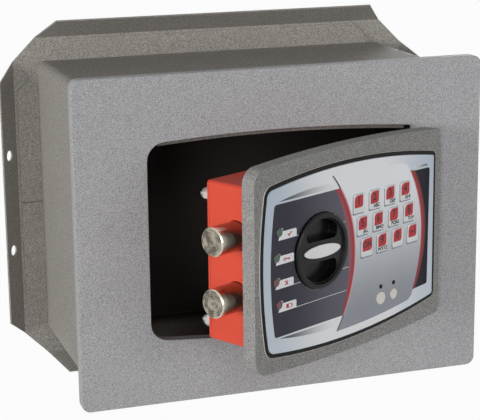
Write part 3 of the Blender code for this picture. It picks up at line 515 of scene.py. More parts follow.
def moulded(name, tone, sizes, rough=0.4, coat=0.0, grain=0.10, shine=0.5):
    """Moulded plastic or rubber with a faint skin."""
    material, place = start(name)
    skin = noise(place, 0.0009)
    drift = noise(place, 0.02)
    rounded = soft_edges(place, sizes.edge)
    surface(
        place,
        Base_Color=drift.step(0.2, 0.8).tint(scaled(tone, 0.92), tone),
        Roughness=rough - 0.04 + 0.08 * skin,
        Specular_IOR_Level=shine,
        Coat_Weight=coat,
        Coat_Roughness=0.12,
        Normal=relief(place, skin, grain, 0.0001, rounded),
    )
    return material


def film_skin(place, ink, edge, rough=0.36, shine=0.4, spacing=0.0007):
    """End a printed or plain panel material: its colour under a satin film with a faint skin."""
    skin = noise(place, spacing)
    surface(
        place,
        Base_Color=ink,
        Roughness=rough - 0.03 + 0.06 * skin,
        Specular_IOR_Level=shine,
        Normal=relief(place, skin, 0.05, 0.00005, soft_edges(place, edge)),
    )


def printed(name, first, second, sizes, across=None, low=0.0, high=0.0, shine=0.4):
    """Ink under a satin film; with a direction, it runs from one colour to another."""
    material, place = start(name)
    drift = noise(place, 0.03)
    if across is None:
        ink = drift.step(0.2, 0.8).tint(first, second)
    else:
        x, _, z = split(door_place(place))
        run = x if across == "x" else z
        shift = PIVOT.x if across == "x" else 0.0
        ink = (run.step(low - shift, high - shift) * 0.94 + 0.06 * drift).tint(first, second)
    film_skin(place, ink, sizes.film, shine=shine)
    return material


def plain_ink(name, tone, share, sizes):
    """Ink of one colour that drifts to a share of it."""
    return printed(name, tone, scaled(tone, share), sizes)


def arc_ink(name, tones, sizes, middle, deep, pale, shade):
    """Red ink that goes from a shaded to a pale edge, at two distances from a middle point, all in mm."""
    material, place = start(name)
    x, _, z = split(door_place(place))
    across = x + (PIVOT.x - middle[0] * MM)
    along = z - middle[1] * MM
    radius = (across * across + along * along) ** 0.5
    share = (radius - deep * MM) / ((pale - deep) * MM)
    drift = noise(place, 0.02)
    ink = (share + 0.1 * drift).step(0.0, 0.70).tint(shade, tones.arc_red)
    ink = share.step(0.70, 1.0).tint(ink, tones.ink_pale)
    film_skin(place, ink, sizes.film)
    return material


def silver_panel(name, side, middle, sizes):
    """Panel plastic that goes from a cool silver at its sides to near white at its middle."""
    material, place = start(name)
    x, _, z = split(door_place(place))
    out = abs(x + PIVOT.x - 0.002).step(0.030, 0.098)
    lower = (0.0 - z).step(-0.060, 0.070)
    paint = (out * (1.0 - 0.25 * lower)).tint(middle, side)
    film_skin(place, paint, sizes.edge, rough=0.37, shine=0.45, spacing=0.0006)
    return material


def tinted_lens(name, tone):
    """Clear tinted plastic over a dark well, with a painted highlight on its rim."""
    material, place = start(name)
    cloud = noise(place, 0.002)
    rounded = soft_edges(place, 0.0008)
    # Painted highlight: the rim is tinted paler than the well.
    paint = (edge_highlight_mask(place, rounded) * 0.6 + cloud * 0.2).tint(scaled(tone, 0.5), tone)
    surface(place, Base_Color=paint, Roughness=0.10 + 0.05 * cloud, Coat_Weight=0.6, Normal=rounded)
    return material


def circuit_board(name):
    """Green lacquer over copper tracks and tinned dots."""
    material, place = start(name)
    x, y, z = split(place)
    dot_rate = 2100.0
    line_rate = 1500.0
    grid = place.math("SINE", x * dot_rate) * place.math("SINE", z * dot_rate)
    lines = abs(place.math("SINE", (x + y) * line_rate)).step(0.90, 0.97)
    dots = grid.step(0.80, 0.92)
    lacquer = (lines * 0.5).tint(srgb(14, 74, 40), srgb(38, 112, 62))
    paint = dots.tint(lacquer, srgb(196, 190, 170))
    surface(place, Base_Color=paint, Metallic=dots, Roughness=0.42 - 0.12 * dots)
    return material


def cell_skin(name):
    """Sleeve of a battery cell: dark with one copper-coloured end and no print."""
    material, place = start(name)
    x = split(door_place(place))[0]
    low, high = shut_box("battery_1")
    band = (x - (low.x - PIVOT.x) - 0.30 * (high.x - low.x)).step(-0.0004, 0.0004)
    scuff = noise(place, 0.003, 3.0)
    paint = band.tint(srgb(176, 120, 72), srgb(36, 36, 40))
    surface(place, Base_Color=paint, Metallic=0.4 - 0.4 * band, Roughness=0.28 + 0.12 * scuff)
    return material


def dress(material, *names):
    """Give CAD nodes a material; a name that ends in _ stands for every node that starts with it."""
    for name in names:
        found = [node for node in frame["nodes"] if node == name]
        if name.endswith("_"):
            found = [node for node in frame["nodes"] if node.startswith(name)]
        if not found:
            raise KeyError(name)
        for node in found:
            frame["nodes"][node].material_slots[0].material = material


def face_out(shape):
    """Turn all faces of a bmesh outwards."""
    bmesh.ops.recalc_face_normals(shape, faces=shape.faces[:])


def add_piece(name, shape, material, body):
    """Turn a bmesh into a named piece that rides on a body."""
    mesh = bpy.data.meshes.new(name)
    shape.to_mesh(mesh)
    shape.free()
    mesh.materials.append(material)
    piece = bpy.data.objects.new(name, mesh)
    bpy.context.scene.collection.objects.link(piece)
    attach(piece, body)


def trace(shape, corners):
    """Close a loop of edges through (x, z, bow) corners in mm; a bow bends the side after its corner."""
    points = [Vector((x, 0.0, z)) * MM for x, z, _ in corners]
    last = shape.verts.new(points[0])
    for i, here in enumerate(points):
        there = points[(i + 1) % len(points)]
        bow = corners[i][2] * MM
        if bow:
            chord = there - here
            half = chord.length / 2
            radius = (half * half + bow * bow) / (2.0 * bow)
            outwards = chord.cross(Vector((0.0, 1.0, 0.0))).normalized()
            centre = (here + there) / 2 + outwards * (bow - radius)
            first = here - centre
            final = there - centre
            turn = math.atan2(first.cross(final).y, first.dot(final))
            steps = ARC_STEPS if half > LONG_SIDE else CORNER_STEPS
            made = bmesh.ops.spin(
                shape, geom=[last], cent=centre, axis=(0.0, 1.0, 0.0), dvec=(0.0, 0.0, 0.0), angle=turn,
                steps=steps, use_merge=False, use_duplicate=False,
            )
            last = made["geom_last"][0]
        else:
            last = bmesh.ops.extrude_vert_indiv(shape, verts=[last])["verts"][0]
            last.co = there
    bmesh.ops.remove_doubles(shape, verts=shape.verts, dist=WELD)


def ring(shape, x, z, radius, sides):
    """Add a circle of edges, in mm, facing the front."""
    turn = Matrix.Translation((x * MM, 0.0, z * MM)) @ Matrix.Rotation(math.pi / 2, 4, "X")
    bmesh.ops.create_circle(shape, cap_ends=False, segments=sides, radius=radius * MM, matrix=turn)


def rounded_box(low, high, corner):
    """List the corners of a box with four round corners, in mm, for trace."""
    bow = corner * (1.0 - math.sqrt(0.5))
    (x0, z0), (x1, z1) = low, high
    return [
        (x0 + corner, z0, 0.0), (x1 - corner, z0, -bow), (x1, z0 + corner, 0.0), (x1, z1 - corner, -bow),
        (x1 - corner, z1, 0.0), (x0 + corner, z1, -bow), (x0, z1 - corner, 0.0), (x0, z0 + corner, -bow),
    ]


def straight(points, x=0.0, z=0.0):
    """List the corners of a straight-sided outline, moved to a place, in mm, for trace."""
    return [(x + across, z + up, 0.0) for across, up in points]


def thicken(shape, thick):
    """Fill a bmesh's loops, the inner ones as holes, and raise the faces to a closed film."""
    bmesh.ops.triangle_fill(
        shape, use_beauty=True, use_dissolve=False, edges=shape.edges[:], normal=(0.0, -1.0, 0.0)
    )
    made = bmesh.ops.extrude_face_region(shape, geom=shape.faces[:])
    raised = [part for part in made["geom"] if isinstance(part, bmesh.types.BMVert)]
    bmesh.ops.translate(shape, vec=(0.0, -thick, 0.0), verts=raised)
    face_out(shape)


def to_door(shape, face, lift):
    """Move a shape drawn at the origin to a face of the shut door, then turn it to the rest opening."""
    place = DOOR @ Matrix.Translation((0.0, face - lift, 0.0))
    bmesh.ops.transform(shape, matrix=place, verts=shape.verts[:])


def film(name, loops, material, thick, body="door", face=PANEL_FACE, lift=0.0, slot="panel_plastic"):
    """Lay a film on a face: a list of traced loops, with (x, z, radius, sides) for a round hole."""
    shape = bmesh.new()
    for loop in loops:
        if isinstance(loop, tuple):
            ring(shape, *loop)
        else:
            trace(shape, loop)
    thicken(shape, thick)
    to_door(shape, face, lift)
    add_piece(name, shape, material, body)


def lettering(name, text, size, x, z, material, thick, body, face, bold, align="CENTER"):
    """Set plain text of a size in metres on a face of the door, at x and z in mm."""
    curve = bpy.data.curves.new(name, "FONT")
    curve.body = text
    curve.size = size * FONT_SIZE_PER_HEIGHT
    curve.align_x = align
    curve.align_y = "CENTER"
    curve.offset = bold
    curve.extrude = thick / 2
    curve.resolution_u = 4
    holder = bpy.data.objects.new(name + "_text", curve)
    bpy.context.scene.collection.objects.link(holder)
    bpy.context.view_layer.update()
    flat = bpy.data.meshes.new_from_object(holder.evaluated_get(bpy.context.evaluated_depsgraph_get()))
    bpy.data.objects.remove(holder)
    shape = bmesh.new()
    shape.from_mesh(flat)
    bpy.data.meshes.remove(flat)
    bmesh.ops.remove_doubles(shape, verts=shape.verts[:], dist=FINE_WELD)
    upright = Matrix.Translation((x * MM, -thick / 2, z * MM)) @ Matrix.Rotation(math.pi / 2, 4, "X")
    bmesh.ops.transform(shape, matrix=upright, verts=shape.verts[:])
    face_out(shape)
    to_door(shape, face, 0.0)
    add_piece(name, shape, material, body)


def looks(context):
    """Give the scene's colours and sizes."""
    return context.scene.safe_colours, context.scene.safe_sizes


class SAFE_OT_paint_shell(bpy.types.Operator):
    """Paint the front plate, the sheet body and the rear panel"""

    bl_idname = "safe.paint_shell"
    bl_label = "Paint shell"

    def execute(self, context):
        tones, sizes = looks(context)
        _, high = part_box("body_wrapper")
        wall = sizes.flange + 3.0 * MM
        window = inside_window(high.x - wall, high.z - wall)
        dress(speckled_paint("plate_paint_finish", tones.plate, sizes), "front_plate")
        # The body and the rear panel are darkened with painted shade inside the body.
        body = speckled_paint(
            "body_paint_finish", tones.body, sizes, tones.inside, facing_inwards, shine=0.08, contrast=1.35
        )
        dress(body, "body_wrapper")
        # Painted shade: the door stop, recessed behind the plate, takes a darker copy of the body paint.
        stop = speckled_paint("stop_paint_finish", scaled(tones.body, 0.75), sizes, shine=0.08)
        dress(stop, "door_stop")
        rear = speckled_paint(
            "rear_paint_finish", tones.body, sizes, tones.inside, window, shine=0.15, contrast=1.25
        )
        dress(rear, "back_panel")
        dress(satin_paint("bracket_finish", tones.bracket, sizes), "hinge_bracket_", "hinge_arm_")
        return {"FINISHED"}


class SAFE_OT_finish_door(bpy.types.Operator):
    """Paint the door and the bolt box, and edge the rubber ring with a painted highlight"""

    bl_idname = "safe.finish_door"
    bl_label = "Finish door"

    def execute(self, context):
        tones, sizes = looks(context)
        dress(speckled_paint("door_paint_finish", tones.door, sizes, contrast=1.7), "door_plate")
        dress(satin_paint("box_red_finish", tones.red, sizes), "bolt_box", "box_cover")
        rubber = moulded("ring_rubber_finish", tones.rubber, sizes, rough=0.42, grain=0.2, shine=0.15)
        dress(rubber, "panel_gasket")
        self.edge_ring(moulded("ring_lip_finish", tones.lip, sizes))
        return {"FINISHED"}

    def edge_ring(self, material):
        """Wrap the ring's outer flank with a thin pale lip that stands on the door's face, as a painted
        highlight of that flank.
        """
        door_face = shut_box("door_plate")[0].y
        ring_face = shut_box("panel_gasket")[0].y
        shape = bmesh.new()
        shape.from_mesh(frame["nodes"]["panel_gasket"].data)
        bmesh.ops.transform(shape, matrix=DOOR.inverted(), verts=shape.verts[:])
        bmesh.ops.remove_doubles(shape, verts=shape.verts[:], dist=WELD)
        face_out(shape)
        inner = []
        for face in shape.faces:
            middle = face.calc_center_median()
            outwards = face.normal.x * middle.x + face.normal.z * middle.z
            if abs(face.normal.y) > 0.5 or outwards < 0.0:
                inner.append(face)
        bmesh.ops.delete(shape, geom=inner, context="FACES")
        for height, keep_front in ((door_face, True), (ring_face + LIP_DROP, False)):
            bmesh.ops.bisect_plane(
                shape, geom=shape.verts[:] + shape.edges[:] + shape.faces[:], plane_co=(0.0, height, 0.0),
                plane_no=(0.0, 1.0, 0.0), clear_outer=keep_front, clear_inner=not keep_front,
            )
        bmesh.ops.solidify(shape, geom=shape.faces[:], thickness=-LIP_THICK)
        face_out(shape)
        bmesh.ops.transform(shape, matrix=DOOR, verts=shape.verts[:])
        add_piece("ring_lip", shape, material, "door")


class SAFE_OT_finish_steel(bpy.types.Operator):
    """Finish the bolts and the other steel pieces"""

    bl_idname = "safe.finish_steel"
    bl_label = "Finish steel"

    def execute(self, context):
        tones, sizes = looks(context)
        dress(turned_steel("bolt_steel_finish", tones.steel, sizes), "bolt_upper", "bolt_lower")
        plain = drawn_steel("plain_steel_finish", tones.steel, sizes)
        dress(plain, "lock_strike", "hinge_pin_", "bolt_guide", "knob_spindle", "bolt_cam")
        dress(plain, "bolt_bar", "solenoid_plunger")
        dress(drawn_steel("nut_steel_finish", tones.nut, sizes, rough=0.06), "dome_nut_")
        return {"FINISHED"}


class SAFE_OT_finish_works(bpy.types.Operator):
    """Finish the boards, the cells and their holder, and the solenoid"""

    bl_idname = "safe.finish_works"
    bl_label = "Finish works"

    def execute(self, context):
        sizes = context.scene.safe_sizes
        dress(circuit_board("board_finish"), "circuit_board", "keypad_board")
        dress(cell_skin("cell_finish"), "battery_1", "battery_2", "battery_3", "battery_4")
        holder = moulded("holder_finish", srgb(30, 30, 32), sizes, rough=0.5)
        dress(holder, "battery_holder", "solenoid_body")
        return {"FINISHED"}


class SAFE_OT_finish_knob(bpy.types.Operator):
    """Finish the knob and its bare oval badge"""

    bl_idname = "safe.finish_knob"
    bl_label = "Finish knob"

    def execute(self, context):
        tones, sizes = looks(context)
        dress(moulded("knob_finish", tones.black, sizes, rough=0.26, grain=0.12, shine=0.22), "knob")
        dress(moulded("badge_finish", tones.badge, sizes, rough=0.35, grain=0.04), "knob_badge")
        return {"FINISHED"}


class SAFE_OT_print_panel(bpy.types.Operator):
    """Lay the printed fields, arcs, sweeps and rules on the panel"""

    bl_idname = "safe.print_panel"
    bl_label = "Print panel"

    def execute(self, context):
        tones, sizes = looks(context)
        dress(silver_panel("panel_finish", tones.silver, tones.white, sizes), "control_panel")
        self.lay_fields(tones, sizes)
        self.lay_arcs(tones, sizes)
        self.lay_sweeps(tones, sizes)
        self.lay_rules(tones, sizes)
        return {"FINISHED"}

    def windows(self, names):
        """List the holes that a field leaves for nodes of the door."""
        holes = []
        for name in names:
            low, high = (corner / MM for corner in shut_box(name))
            if name.startswith("key_"):
                near = (low.x - WINDOW_ROOM, low.z - WINDOW_ROOM)
                far = (high.x + WINDOW_ROOM, high.z + WINDOW_ROOM)
                holes.append(rounded_box(near, far, corner=1.8))
            else:
                radius = (high.x - low.x) / 2 + WINDOW_ROOM
                holes.append((*shut_middle(name), radius, 32))
        return holes

    def lay_fields(self, tones, sizes):
        dark = printed("dark_field_ink", tones.dark, tones.dusk, sizes, "x", -0.085, 0.002, shine=0.15)
        left = [
            (-87.6, 49.6, 0.0), (-20.8, 49.6, 14.5), (-13.8, -51.2, 0.0), (-88.4, -50.9, 0.5),
            (-90.4, -48.8, 3.9), (-90.0, 46.8, 0.7),
        ]
        lenses = self.windows(["lens_1", "lens_2", "lens_3", "lens_4"])
        film("field_left", [left, (KNOB_X, KNOB_Z, KNOB_ROOM, 64), *lenses], dark, sizes.film)
        ends = (tones.field_foot, tones.field_top)
        middle = printed("middle_field_ink", *ends, sizes, "z", -0.058, 0.048, shine=0.9)
        centre = [
            (-25.0, 60.0, 1.4), (60.5, 56.0, 1.0), (69.2, 49.2, 12.4), (74.0, -49.6, 1.5),
            (66.5, -57.4, 1.6), (-19.8, -62.4, -0.4), (-12.2, -50.8, -15.0), (-16.4, 49.3, -0.3),
        ]
        keys = self.windows(["key_" + key for key in KEYS] + ["contact_large", "contact_small"])
        film("field_centre", [centre, *keys], middle, sizes.film)
        strip = [
            (74.7, 48.1, 0.0), (91.8, 47.9, 0.6), (93.9, 45.8, 0.0),
            (92.5, -46.6, 0.6), (90.5, -48.7, 0.0), (76.1, -49.5, -13.0),
        ]
        dim = scaled(tones.dark, 0.6)
        night = printed("dark_strip_ink", dim, tones.night, sizes, "x", 0.078, 0.092, shine=0.10)
        film("field_right", [strip], night, sizes.film)

    def lay_arcs(self, tones, sizes):
        left_ink = arc_ink(
            "arc_left_ink", tones, sizes, middle=(-88.7, -3.6), deep=82.3, pale=91.4, shade=tones.arc_mauve
        )
        right_ink = arc_ink(
            "arc_right_ink", tones, sizes, middle=(-9.7, -1.9), deep=99.2, pale=92.4, shade=tones.ink_deep
        )
        left = [(-21.6, 49.5, 0.0), (-15.0, 49.5, 15.5), (-11.6, -50.9, 0.0), (-14.1, -51.2, -11.6)]
        right = [(68.4, 49.3, 0.0), (75.2, 48.1, 13.8), (76.4, -49.6, 0.0), (73.5, -49.7, -12.4)]
        film("arc_left", [left], left_ink, sizes.film, lift=sizes.film)
        film("arc_right", [right], right_ink, sizes.film, lift=sizes.film)

    def lay_sweeps(self, tones, sizes):
        shade = printed("sweep_ink", tones.dark, tones.white, sizes, "x", -0.082, -0.022)
        glint = printed("sweep_ink_right", tones.white, tones.dusk, sizes, "x", 0.070, 0.092)
        upper = [(-85.0, 51.2, 1.4), (-31.0, 55.4, 0.4), (-19.8, 51.0, 0.0)]
        lower = [(-85.0, -52.3, 0.0), (-14.2, -53.0, 0.4), (-27.0, -58.0, 1.4)]
        right = [(70.0, 49.9, 0.5), (89.5, 51.4, 0.2), (91.0, 49.6, 0.0)]
        film("sweep_upper", [upper], shade, sizes.film)
        film("sweep_lower", [lower], shade, sizes.film)
        film("sweep_right", [right], glint, sizes.film)
        black = printed("short_line_ink", tones.ink_black, tones.dark, sizes)
        upper = [(-25.6, 60.3, 0.3), (-17.3, 49.5, 0.0), (-15.7, 49.5, -0.3), (-24.4, 60.5, 0.0)]
        lower = [(-12.9, -51.0, 0.0), (-20.4, -62.4, 0.0), (-19.4, -62.6, 0.0), (-11.7, -51.0, 0.0)]
        film("short_line_upper", [upper], black, sizes.film, lift=sizes.film)
        film("short_line_lower", [lower], black, sizes.film, lift=sizes.film)

    def lay_rules(self, tones, sizes):
        pale = printed("rule_ink", tones.tag, tones.white, sizes)
        half = sizes.rule / MM / 2
        for i, z in enumerate(RULE_HEIGHTS):
            low = shut_box("lens_%d" % (i + 1))[0].x / MM
            ends = [low + RULE_START, self.arc_at(z)]
            reach = KNOB_ROOM * KNOB_ROOM - (z - KNOB_Z) * (z - KNOB_Z)
            if reach > 0.0:
                gap = math.sqrt(reach) + RULE_GAP
                ends[1:1] = [KNOB_X - gap, KNOB_X + gap]
            for j in range(0, len(ends), 2):
                first, last = ends[j], ends[j + 1]
                if last - first < SHORTEST_RULE:
                    continue
                corners = straight([(first, half), (last, half), (last, -half), (first, -half)], z=z)
                film("rule_%d_%d" % (i + 1, j // 2 + 1), [corners], pale, sizes.ink, lift=sizes.film)

    def arc_at(self, z):
        """Give where the left red arc's edge stands at a height, in mm."""
        return -3.0 - (z + 2.0) * (z + 2.0) / 150.0


class SAFE_OT_add_tags(bpy.types.Operator):
    """Add the pale tags with plain signs, the lenses' finish and the contacts"""

    bl_idname = "safe.add_tags"
    bl_label = "Add tags"

    def execute(self, context):
        tones, sizes = looks(context)
        dress(tinted_lens("green_lens_finish", tones.green), "lens_1", "lens_2")
        dress(tinted_lens("red_lens_finish", tones.ruby), "lens_3", "lens_4")
        contact = moulded("contact_finish", tones.contact, sizes, rough=0.38, coat=0.2)
        dress(contact, "contact_large", "contact_small")
        pale = printed("tag_ink", tones.tag, tones.white, sizes)
        red = plain_ink("sign_ink", tones.ink_red, 0.85, sizes)
        for i, sign in enumerate((self.tick, self.key, self.cross, self.cell)):
            x, z = shut_middle("lens_%d" % (i + 1))
            foot = RULE_HEIGHTS[i] - 0.2
            tag = [
                (x - 1.2, foot, 0.0), (x + 18.6, foot, 0.0), (x + 18.6, foot + 4.9, -0.45),
                (x + 17.1, foot + 6.4, 0.0), (x + 4.2, foot + 6.4, 0.0), (x + 2.1, z + 3.2, 1.0),
                (x + 3.4, z + 0.2, 1.1), (x - 0.4, z - 3.4, 0.0),
            ]
            film("tag_%d" % (i + 1), [tag], pale, sizes.film, lift=sizes.film)
            middle = (x + 10.8, foot + 3.2)
            film("sign_%d" % (i + 1), sign(*middle), red, sizes.ink, lift=2 * sizes.film)
        return {"FINISHED"}

    def tick(self, x, z):
        points = [(-2.2, 0.1), (-1.5, 0.8), (-0.5, -0.4), (1.9, 2.0), (2.6, 1.3), (-0.5, -1.8)]
        return [straight(points, x, z)]

    def key(self, x, z):
        points = [(-0.9, 0.35), (3.4, 0.35), (3.4, -1.2), (2.7, -1.2), (2.7, -0.35), (2.0, -0.35)]
        points += [(2.0, -1.0), (1.3, -1.0), (1.3, -0.35)]
        bow = [(x - 0.9, z - 0.35, 1.55), (x - 3.9, z, 1.55)]
        return [straight(points, x, z) + bow, (x - 2.4, z, 0.7, 16)]

    def cross(self, x, z):
        points = [(0.0, 0.7), (1.3, 2.0), (2.0, 1.3), (0.7, 0.0), (2.0, -1.3), (1.3, -2.0)]
        points += [(0.0, -0.7), (-1.3, -2.0), (-2.0, -1.3), (-0.7, 0.0), (-2.0, 1.3), (-1.3, 2.0)]
        return [straight(points, x, z)]

    def cell(self, x, z):
        shell = [(-3.4, 1.6), (2.8, 1.6), (2.8, 0.7), (3.5, 0.7), (3.5, -0.7), (2.8, -0.7), (2.8, -1.6)]
        shell += [(-3.4, -1.6)]
        gap = [(-0.6, 1.1), (2.2, 1.1), (2.2, -1.1), (-0.6, -1.1)]
        return [straight(shell, x, z), straight(gap, x, z)]


class SAFE_OT_letter_keys(bpy.types.Operator):
    """Finish the keys, lay their red pads and set plain digits and letters"""

    bl_idname = "safe.letter_keys"
    bl_label = "Letter keys"

    def execute(self, context):
        tones, sizes = looks(context)
        dress(moulded("key_finish", tones.key, sizes, rough=0.38, grain=0.05), "key_")
        inks = {
            "red": plain_ink("key_pad_ink", tones.ink_red, 0.88, sizes),
            "digit": plain_ink("digit_ink", tones.ink_digit, 0.6, sizes),
            "black": plain_ink("key_ink", tones.ink_black, 0.6, sizes),
            "line": plain_ink("key_line_ink", tones.ink_line, 0.8, sizes),
        }
        for key in KEYS:
            self.letter(key, inks, sizes)
        return {"FINISHED"}

    def letter(self, key, inks, sizes):
        """Lay a key's pad, its shaded corner, its digit or arrow, and its letters."""
        low, high = shut_box("key_" + key)
        x, z = shut_middle("key_" + key)
        face = low.y
        body = "button_" + key
        left = -5.6
        right = 5.7 if key == "on" else 4.4
        pad = [
            (x + left, z - 3.0, 0.0), (x + left, z + 2.9, 1.1), (x - 1.8, z + 6.7, 0.0),
            (x + right, z + 6.7, 0.0), (x + right, z - 0.4, 0.8), (x + right - 2.6, z - 3.0, 0.0),
        ]
        film("pad_" + key, [pad], inks["red"], sizes.film, body, face, slot="red_paint")
        self.frame_key(key, low / MM, high / MM, inks["line"], sizes)
        middle = x + (right + left) / 2
        top = face - sizes.film
        if key == "enter":
            self.arrow(middle, z + 2.0, inks["digit"], sizes, body, top)
        else:
            size = sizes.digit * (0.78 if key == "on" else 1.0)
            place = (size, middle, z + 2.0)
            lettering("digit_" + key, key.upper(), *place, inks["digit"], sizes.ink, body, top, bold=0.00022)
        if key in KEY_LETTERS:
            place = (sizes.letter, x + 5.7, z - 5.0)
            lettering(
                "letters_" + key, KEY_LETTERS[key], *place, inks["black"], sizes.ink, body, face,
                bold=0.00016, align="RIGHT",
            )

    def frame_key(self, key, low, high, material, sizes):
        """Print a fine shaded corner on the panel, at the left and the foot of a key's window."""
        left = low.x - 0.95
        inner = low.x - 0.4
        foot = low.z - 0.95
        sill = low.z - 0.4
        end = high.x - 0.2
        top = high.z - 1.2
        outer = [
            (left, low.z + 0.2, 0.0), (left, low.z - 0.5, 0.3), (low.x - 0.5, foot, 0.0), (end, foot, 0.0),
            (end, sill, 0.0), (low.x + 0.4, sill, -0.4), (inner, low.z + 0.4, 0.0), (inner, top, 0.0),
            (left, top, 0.0),
        ]
        film("key_line_" + key, [outer], material, sizes.ink, lift=sizes.film)

    def arrow(self, x, z, material, sizes, body, face):
        """Draw a plain return arrow."""
        points = [(2.4, 2.7), (2.4, -0.4), (-0.9, -0.4), (-0.9, 1.0), (-2.9, -0.8), (-0.9, -2.6)]
        points += [(-0.9, -1.3), (3.3, -1.3), (3.3, 2.7)]
        corners = straight(points, x, z)
        film("digit_enter", [corners], material, sizes.ink, body, face, slot="black_plastic")


class SAFE_OT_add_sensors(bpy.types.Operator):
    """Add the two small dark sensors above the contacts"""

    bl_idname = "safe.add_sensors"
    bl_label = "Add sensors"

    def execute(self, context):
        tones, sizes = looks(context)
        glass = moulded("sensor_finish", tones.black, sizes, rough=0.25, grain=0.02, shine=0.12)
        for name in ("large", "small"):
            x, z = shut_middle("contact_" + name)
            shape = bmesh.new()
            last = shape.verts.new((0.0, SENSOR_TOP, 0.0))
            for across, out in SENSOR_PROFILE:
                last = bmesh.ops.extrude_vert_indiv(shape, verts=[last])["verts"][0]
                last.co = (across, out, 0.0)
            bmesh.ops.spin(
                shape, geom=shape.verts[:] + shape.edges[:], cent=(0.0, 0.0, 0.0), axis=(0.0, 1.0, 0.0),
                dvec=(0.0, 0.0, 0.0), angle=2.0 * math.pi, steps=24, use_merge=True, use_duplicate=False,
            )
            bmesh.ops.remove_doubles(shape, verts=shape.verts[:], dist=FINE_WELD)
            face_out(shape)
            bmesh.ops.translate(shape, vec=(x * MM, 0.0, z * MM + SENSOR_RISE), verts=shape.verts[:])
            to_door(shape, PANEL_FACE, sizes.film)
            add_piece("sensor_" + name, shape, glass, "door")
        return {"FINISHED"}


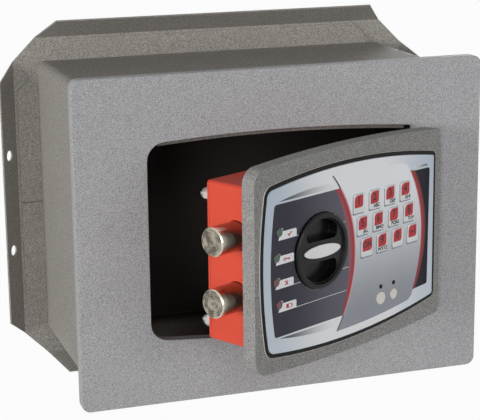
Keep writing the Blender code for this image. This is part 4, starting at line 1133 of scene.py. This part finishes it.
class SAFE_OT_set_stage(bpy.types.Operator):
    """Set the camera, the lamps, the sky and a plain pale floor"""

    bl_idname = "safe.set_stage"
    bl_label = "Set stage"

    def execute(self, context):
        studio = context.scene.safe_studio
        context.scene.view_settings.view_transform = "Standard"
        self.add_camera(context, studio)
        self.add_floor(context, studio)
        self.add_sky(context, studio)
        for name, place in LAMP_PLACES.items():
            self.add_lamp(context, name + "_lamp", place, getattr(studio, name))
        return {"FINISHED"}

    def add_camera(self, context, studio):
        azimuth, elevation, roll = studio.azimuth, studio.elevation, studio.roll
        out = math.cos(elevation)
        back = Vector((-math.sin(azimuth) * out, -math.cos(azimuth) * out, math.sin(elevation)))
        flat_right = (-back).cross(Vector((0.0, 0.0, 1.0))).normalized()
        flat_up = flat_right.cross(-back)
        right = flat_right * math.cos(roll) + flat_up * math.sin(roll)
        up = flat_up * math.cos(roll) - flat_right * math.sin(roll)
        turn = Matrix((right, up, back)).transposed().to_4x4()
        data = bpy.data.cameras.new("camera")
        data.sensor_width = 36.0
        data.lens = studio.lens
        data.clip_start = 0.05
        data.clip_end = 60.0
        camera = bpy.data.objects.new("camera", data)
        camera.matrix_world = Matrix.Translation(Vector(studio.target) + back * studio.distance) @ turn
        context.scene.collection.objects.link(camera)
        context.scene.camera = camera

    def add_floor(self, context, studio):
        shape = bmesh.new()
        place = Matrix.Translation((0.0, 0.0, CAD_BOX[0].z - FLOOR_DROP))
        bmesh.ops.create_circle(shape, cap_ends=True, segments=96, radius=FLOOR_RADIUS, matrix=place)
        mesh = bpy.data.meshes.new("floor")
        shape.to_mesh(mesh)
        shape.free()
        floor = bpy.data.objects.new("floor", mesh)
        context.scene.collection.objects.link(floor)
        mesh.materials.append(self.floor_finish(studio))

    def floor_finish(self, studio):
        """Pale floor that keeps the shadow and reads near white to the camera and in reflections."""
        material, place = start("floor_finish")
        seen = self.seen(place)
        cloud = noise(place, 0.4)
        paint = (cloud * 0.3).tint(studio.floor, scaled(studio.floor, 0.97))
        matt = place.node("ShaderNodeBsdfDiffuse", None, {"Color": paint})
        glow = place.node("ShaderNodeEmission", None, {"Color": WHITE, "Strength": 1.0})
        both = place.node("ShaderNodeMixShader", None, {0: seen * FLOOR_GLOW, 1: matt, 2: glow})
        place.node("ShaderNodeOutputMaterial", None, {"Surface": both})
        return material

    def seen(self, wire):
        """Give 1 for rays from the camera, a gloss or clear plastic."""
        path = wire.node("ShaderNodeLightPath", output="Is Camera Ray")
        outputs = path.socket.node.outputs
        rays = [Wire(wire.tree, outputs[name]) for name in ("Is Glossy Ray", "Is Transmission Ray")]
        return wire.math("MINIMUM", path + rays[0] + rays[1], 1.0)

    def add_sky(self, context, studio):
        world = bpy.data.worlds.new("sky")
        world.use_nodes = True
        world.node_tree.nodes.clear()
        wire = Wire(world.node_tree)
        seen = self.seen(wire)
        level = seen * (1.0 - studio.sky) + studio.sky
        glow = wire.node("ShaderNodeBackground", None, {"Color": WHITE, "Strength": level})
        wire.node("ShaderNodeOutputWorld", None, {"Surface": glow})
        context.scene.world = world

    def add_lamp(self, context, name, place, energy):
        """Add a wide far lamp that shines from a place towards the safe, with the same level all over."""
        data = bpy.data.lights.new(name, "SUN")
        data.angle = context.scene.safe_studio.softness
        data.energy = energy
        lamp = bpy.data.objects.new(name, data)
        back = Vector(place).normalized()
        lamp.matrix_world = Matrix.Translation(place) @ back.to_track_quat("Z", "Y").to_matrix().to_4x4()
        context.scene.collection.objects.link(lamp)


class SAFE_PT_looks(bpy.types.Panel):
    """Lists the steps that dress the safe"""

    bl_idname = "SAFE_PT_looks"
    bl_label = "Wall safe"
    bl_space_type = "VIEW_3D"
    bl_region_type = "UI"
    bl_category = "Safe"

    def draw(self, context):
        for step in STEPS:
            self.layout.operator(step.bl_idname)
        for group in (context.scene.safe_colours, context.scene.safe_sizes, context.scene.safe_studio):
            box = self.layout.box()
            for name in group.bl_rna.properties.keys():
                if name not in ("rna_type", "name"):
                    box.prop(group, name)


STEPS = (
    SAFE_OT_set_stage,
    SAFE_OT_paint_shell,
    SAFE_OT_finish_door,
    SAFE_OT_finish_steel,
    SAFE_OT_finish_works,
    SAFE_OT_finish_knob,
    SAFE_OT_print_panel,
    SAFE_OT_add_tags,
    SAFE_OT_letter_keys,
    SAFE_OT_add_sensors,
)
GROUPS = (SafeColours, SafeSizes, SafeStudio)


def register():
    for entry in (*GROUPS, *STEPS, SAFE_PT_looks):
        bpy.utils.register_class(entry)
    bpy.types.Scene.safe_colours = PointerProperty(type=SafeColours)
    bpy.types.Scene.safe_sizes = PointerProperty(type=SafeSizes)
    bpy.types.Scene.safe_studio = PointerProperty(type=SafeStudio)


def unregister():
    for name in ("safe_studio", "safe_sizes", "safe_colours"):
        delattr(bpy.types.Scene, name)
    for entry in (SAFE_PT_looks, *reversed(STEPS), *reversed(GROUPS)):
        bpy.utils.unregister_class(entry)


def main():
    """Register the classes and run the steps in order."""
    register()
    for step in STEPS:
        family, action = step.bl_idname.split(".")
        getattr(getattr(bpy.ops, family), action)()


if __name__ == "__main__":
    main()
